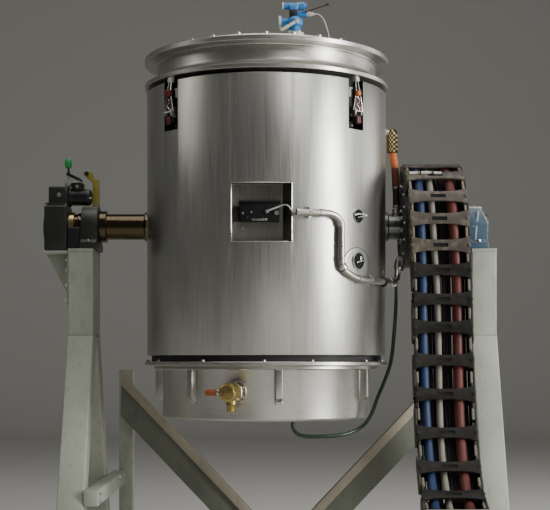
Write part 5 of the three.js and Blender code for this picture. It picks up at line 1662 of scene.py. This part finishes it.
bar_master = chain_bar("chain_bar")
plate_masters = {}
for layer, offset in (("outer", 0), ("inner", 14)):
    left_plate = side_plate("left_plate", CHAIN["left"] + offset)
    right_plate = side_plate("right_plate", CHAIN["right"] - offset - PLATE_WIDTH)
    plate_masters[layer] = joined(f"{layer}_plates", left_plate, right_plate)
pin_profile = [(0, -2), (20, -2), (22, 0), (22, 30), (0, 30)]
pin_left = turned("pin_left", pin_profile, (CHAIN["left"], 0, 0), RIGHT, steps=20)
pin_right = turned("pin_right", pin_profile, (CHAIN["right"], 0, 0), LEFT, steps=20)
pin_master = coat(joined("pins", pin_left, pin_right), "chain")
side_pins = [block("side_pin", (x - 8, -9, -37), (x + 8, 5, 37), 4)
    for x in (CHAIN["left"] + 24, CHAIN["right"] - 24)]
side_pin_master = coat(joined("side_pins", *side_pins), "chain_pin")
masters += [bar_master, pin_master, side_pin_master, *plate_masters.values()]
print("link parts:", [piece.name for piece in masters[-5:]])


# %% [markdown]
# The parts follow a smooth line over the drum, down in front of it and out to the stand. Each is carried
# to the middle of two near points of the line, which give it its slope too. The upper chain leans a
# little towards the vessel. That is done last, to the points of a whole piece.

# %% The chain's line
WRAP_RADIUS, CHAIN_STEPS = 355, 900
chain_route = [(0, *on_circle(WRAP_RADIUS, a)) for a in range(-20, 181, 20)]
chain_route += [(0, -364, -250), (0, -396, -584), (0, -470, -980), (0, -592, -1333), (0, -760, -1590),
    (0, -960, -1746), (0, -1090, -1792), (0, -1150, -1800), (0, -1190, -1800), (0, -1230, -1800)]
chain_line = smooth_line(chain_route, CHAIN_STEPS)
chain_length = length_of(chain_line)
print("chain line:", round(chain_length), "mm long")


# %% Carrying parts along the line
def on_chain(distance):
    """The point at a distance along the chain's line, in mm."""
    place_now = max(0, min(distance / chain_length, 1)) * CHAIN_STEPS
    i = min(int(place_now), CHAIN_STEPS - 1)
    return chain_line[i].lerp(chain_line[i + 1], place_now - i)


def carried(piece, one, two, lift=0):
    """Takes a piece that stands upright at the front to the middle of two points of the line."""
    down = (two - one).normalized()
    out = Vector((0, down.z, -down.y))
    middle = (one + two) / 2 + out * lift
    turn = Matrix(((1, 0, 0), (0, -out.y, -down.y), (0, -out.z, -down.z))).to_4x4()
    there = Matrix.Translation(tilt_axis + middle / 1000)
    piece.matrix_world = there @ turn @ Matrix.Translation(-tilt_axis)
    return settle(piece)


def lean_at(height):
    """How far the chain leans towards the vessel at a height, in mm."""
    return 0.04 * max(0, height + 400)


def leaned(piece):
    """Leans the upper part of a piece of the chain towards the vessel."""
    for point in piece.data.vertices:
        point.co.x -= lean_at((point.co.z - tilt_axis.z) * 1000) / 1000
    return piece


print("lean at the top of the wrap:", round(lean_at(WRAP_RADIUS)), "mm")

# %% [markdown]
# The side plates are evenly spaced. The crossbars are closer together on the drum and further apart low
# down, where a painted shade makes them nearly black too, so those in front are placed by their own
# heights.

# %% Side plates and crossbars in place
HALF_DEPTH, PIN_LIFT, FIRST_LINK = 47, 38, 40
BAR_HEIGHTS = (159, 14, -153, -311, -494, -672, -879, -1090, -1327)
CLOSE_STEP, WIDE_STEP, SHADE_FROM = 160, 245, 1500
WRAP_LENGTH, WRAP_LINKS = 1132, 7


def side_plates(number):
    """The two side plates of a link, and the pins that join it to the next."""
    centre = FIRST_LINK + number * CHAIN["pitch"]
    one, two = on_chain(centre - JOINT), on_chain(centre + JOINT)
    plates = carried(copy_of(plate_masters["outer" if number % 2 else "inner"], "plates"), one, two)
    near, far = on_chain(centre + JOINT - 8), on_chain(centre + JOINT + 8)
    return [plates, carried(copy_of(pin_master, "pins"), near, far)]


def crossbars(centre):
    """The crossbars of both faces at a distance along the chain; low down they get a painted shade, nearly
    black.
    """
    near, far = on_chain(centre - 8), on_chain(centre + 8)
    outer = copy_of(bar_master, "outer_bar")
    # Low down the bars take the shaded copy of the chain plastic: painted shade.
    if centre > SHADE_FROM:
        outer.data.materials[0] = finish["chain_shaded"]
    under = copy_of(outer, "inner_bar")
    for point in under.data.vertices:
        point.co.y = 2 * tilt_axis.y - point.co.y
    only(under)
    bpy.ops.object.mode_set(mode="EDIT")
    bpy.ops.mesh.select_all(action="SELECT")
    bpy.ops.mesh.flip_normals()
    done()
    return [carried(outer, near, far, HALF_DEPTH), carried(under, near, far, -HALF_DEPTH)]


def outer_height(i):
    """Height of the outer face at a point of the line."""
    down = (chain_line[min(i + 1, CHAIN_STEPS)] - chain_line[max(i - 1, 0)]).normalized()
    return chain_line[i].z - down.y * HALF_DEPTH


front_points = [i for i in range(CHAIN_STEPS + 1) if chain_line[i].y < -150]
bar_places = []
for height in BAR_HEIGHTS:
    i = min(front_points, key=lambda i: abs(outer_height(i) - height))
    bar_places.append(chain_length * i / CHAIN_STEPS)
while bar_places[0] > 200:
    bar_places.insert(0, bar_places[0] - CLOSE_STEP)
while bar_places[-1] < chain_length - 330:
    bar_places.append(bar_places[-1] + WIDE_STEP)
last_link = int((chain_length - 80) // CHAIN["pitch"])
pieces = {"chain_wrap": [], "chain_run": []}
for number in range(last_link + 1):
    pieces["chain_wrap" if number < WRAP_LINKS else "chain_run"] += side_plates(number)
for centre in bar_places:
    pieces["chain_wrap" if centre < WRAP_LENGTH else "chain_run"] += crossbars(centre)
for one, two in zip(bar_places, bar_places[1:]):
    middle = (one + two) / 2
    near, far = on_chain(middle - 8), on_chain(middle + 8)
    side_pin = carried(copy_of(side_pin_master, "side_pins"), near, far, PIN_LIFT)
    pieces["chain_wrap" if middle < WRAP_LENGTH else "chain_run"].append(side_pin)
for name, parts in pieces.items():
    finished(leaned(joined(name, *parts)), f"energy_{name}", "root")
print("chain:", last_link + 1, "links and", len(bar_places), "crossbars on each face")


# %% [markdown]
# Three coloured hoses and a bundle of black cables fill the chain. Each follows the chain's own line at
# its own place across it, with a small sway, because loose hoses never lie quite straight.


# %% Hoses in the chain
def hose_line(across, radius, depth=0, count=220):
    """A line inside the chain that wanders a little; across gives its X at a share of the length."""
    line = []
    for i in range(count + 1):
        share = i / count
        before, after = chain_length * max(share - 0.004, 0), chain_length * min(share + 0.004, 1)
        down = (on_chain(after) - on_chain(before)).normalized()
        out = Vector((0, down.z, -down.y))
        sway = 4 * math.sin(share * 17 + radius)
        middle = on_chain(chain_length * share) + out * (sway + depth)
        line.append(middle + Vector((across(share) - lean_at(middle.z), 0, 0)))
    return line


def chain_hose(name, radius, across, look):
    """A coloured hose that runs the whole length of the chain."""
    piece = tube(f"chain_line_{name}", hose_line(across, radius), radius, 5)
    finished(coat(piece, look), f"chain_hose_{name}", "root")


# The hoses are darker than their own colours, and the white one is grey: painted shade inside the chain.
chain_hose("blue", 29, lambda share: 995 - 5 * math.cos(share * 11), "hose_blue")
chain_hose("white", 21, lambda share: 1072 + 14 * share + 5 * math.sin(share * 14), "white_hose_shaded")
chain_hose("red", 33, lambda share: 1205 + 5 * math.cos(share * 12), "hose_red")
CABLES = ((954, 14, -26), (1037, 13, -26), (1058, 8, -32), (1102, 8, -32), (1124, 13, -24), (1142, 8, -14),
    (1161, 13, -27), (1249, 13, -27), (1274, 11, -24))
cables = []
for number, (x, radius, depth) in enumerate(CABLES):
    run = hose_line(lambda share: x + 2 * math.sin(share * 9 + number), radius, depth, 150)
    cables.append(tube("black_cable", run, radius, 3))
# The black cables take the same near-black, which also paints the chain's shade on them.
finished(coat(joined("black_cables", *cables), "shade_black"), None, "root")
print("hoses and cables in the chain:", 3 + len(cables))

# %% [markdown]
# Where the chain comes over the drum, a short pale strip with two dark clips lies across it. It is a thin
# tube, bent a little to lie on the chain's round back.

# %% Pale strip on the chain's top
STRIP_HEIGHT = 325
strip_points = []
for i in range(9):
    x = 950 + i * 25.5 - lean_at(STRIP_HEIGHT)
    strip_points.append((x, -257 + 5 * math.cos((i / 8 - 0.5) * 2), STRIP_HEIGHT - 4 * abs(i / 4 - 1)))
pale_strip = coat(tube("pale_strip", strip_points, 10, 3), "hose_white")
ticks = [coat(block("tick", (x - 4, -270, 312), (x + 4, -246, 338), 2), "gasket") for x in (990, 1071)]
finished(joined("top_strip", pale_strip, *ticks), None, "root")
print("strip:", len(strip_points), "points and", len(ticks), "clips")

# %% [markdown]
# The chain's lower end lies outside the photograph. It is fixed to a small stand with a tray, an end
# plate in which the hoses end in glands, and a base plate bolted to the floor.

# %% Chain stand
tray = block("tray", (912, -1242, -1869), (1312, -1130.5, -1855.6), 2)
end_plate = block("end_plate", (912, -1242, -1865), (1312, -1230.6, -1730.5), 3)
stand_parts = [tray, end_plate]
for x in (930, 1234):
    stand_parts.append(block("leg", (x, -1215, FLOOR + 14), (x + 60, -1155, -1869), 5, 3))
stand_parts.append(block("base", (900, -1290, FLOOR), (1324, -1080, FLOOR + 15), 3))
stand_parts.append(block("stay", (990, -1195, -2180), (1234, -1175, -2130), 3))
stand = coat(joined("body", *stand_parts), "frame")
extras = [grid_of("studs", foot_stud, (918, 1306), (-1272, -1098), [FLOOR + 15], UP)]
extras.append(grid_of("bolts", small_bolt, (926, 1298), [-1242], (-1845, -1750), FRONT))
for x, radius in ((995, 29), (1091, 21), (1209, 33)):
    extras.append(coat(turned("gland", [(0, 0), (radius + 6, 0), (radius + 6, 12), (radius + 1, 14),
        (radius + 1, 20), (0, 20)], (x, -1242, -1800), FRONT, steps=32), "bolt"))
finished(joined("chain_stand_frame", stand, *extras), "chain_stand", "root")
print("chain stand:", size_of(stand), "m")

# %% Clear the masters and finish
for master in masters:
    bpy.data.objects.remove(master)
for shape in frame["nodes"].values():
    for slot_place in shape.material_slots:
        slot_place.material = finish["frame"]
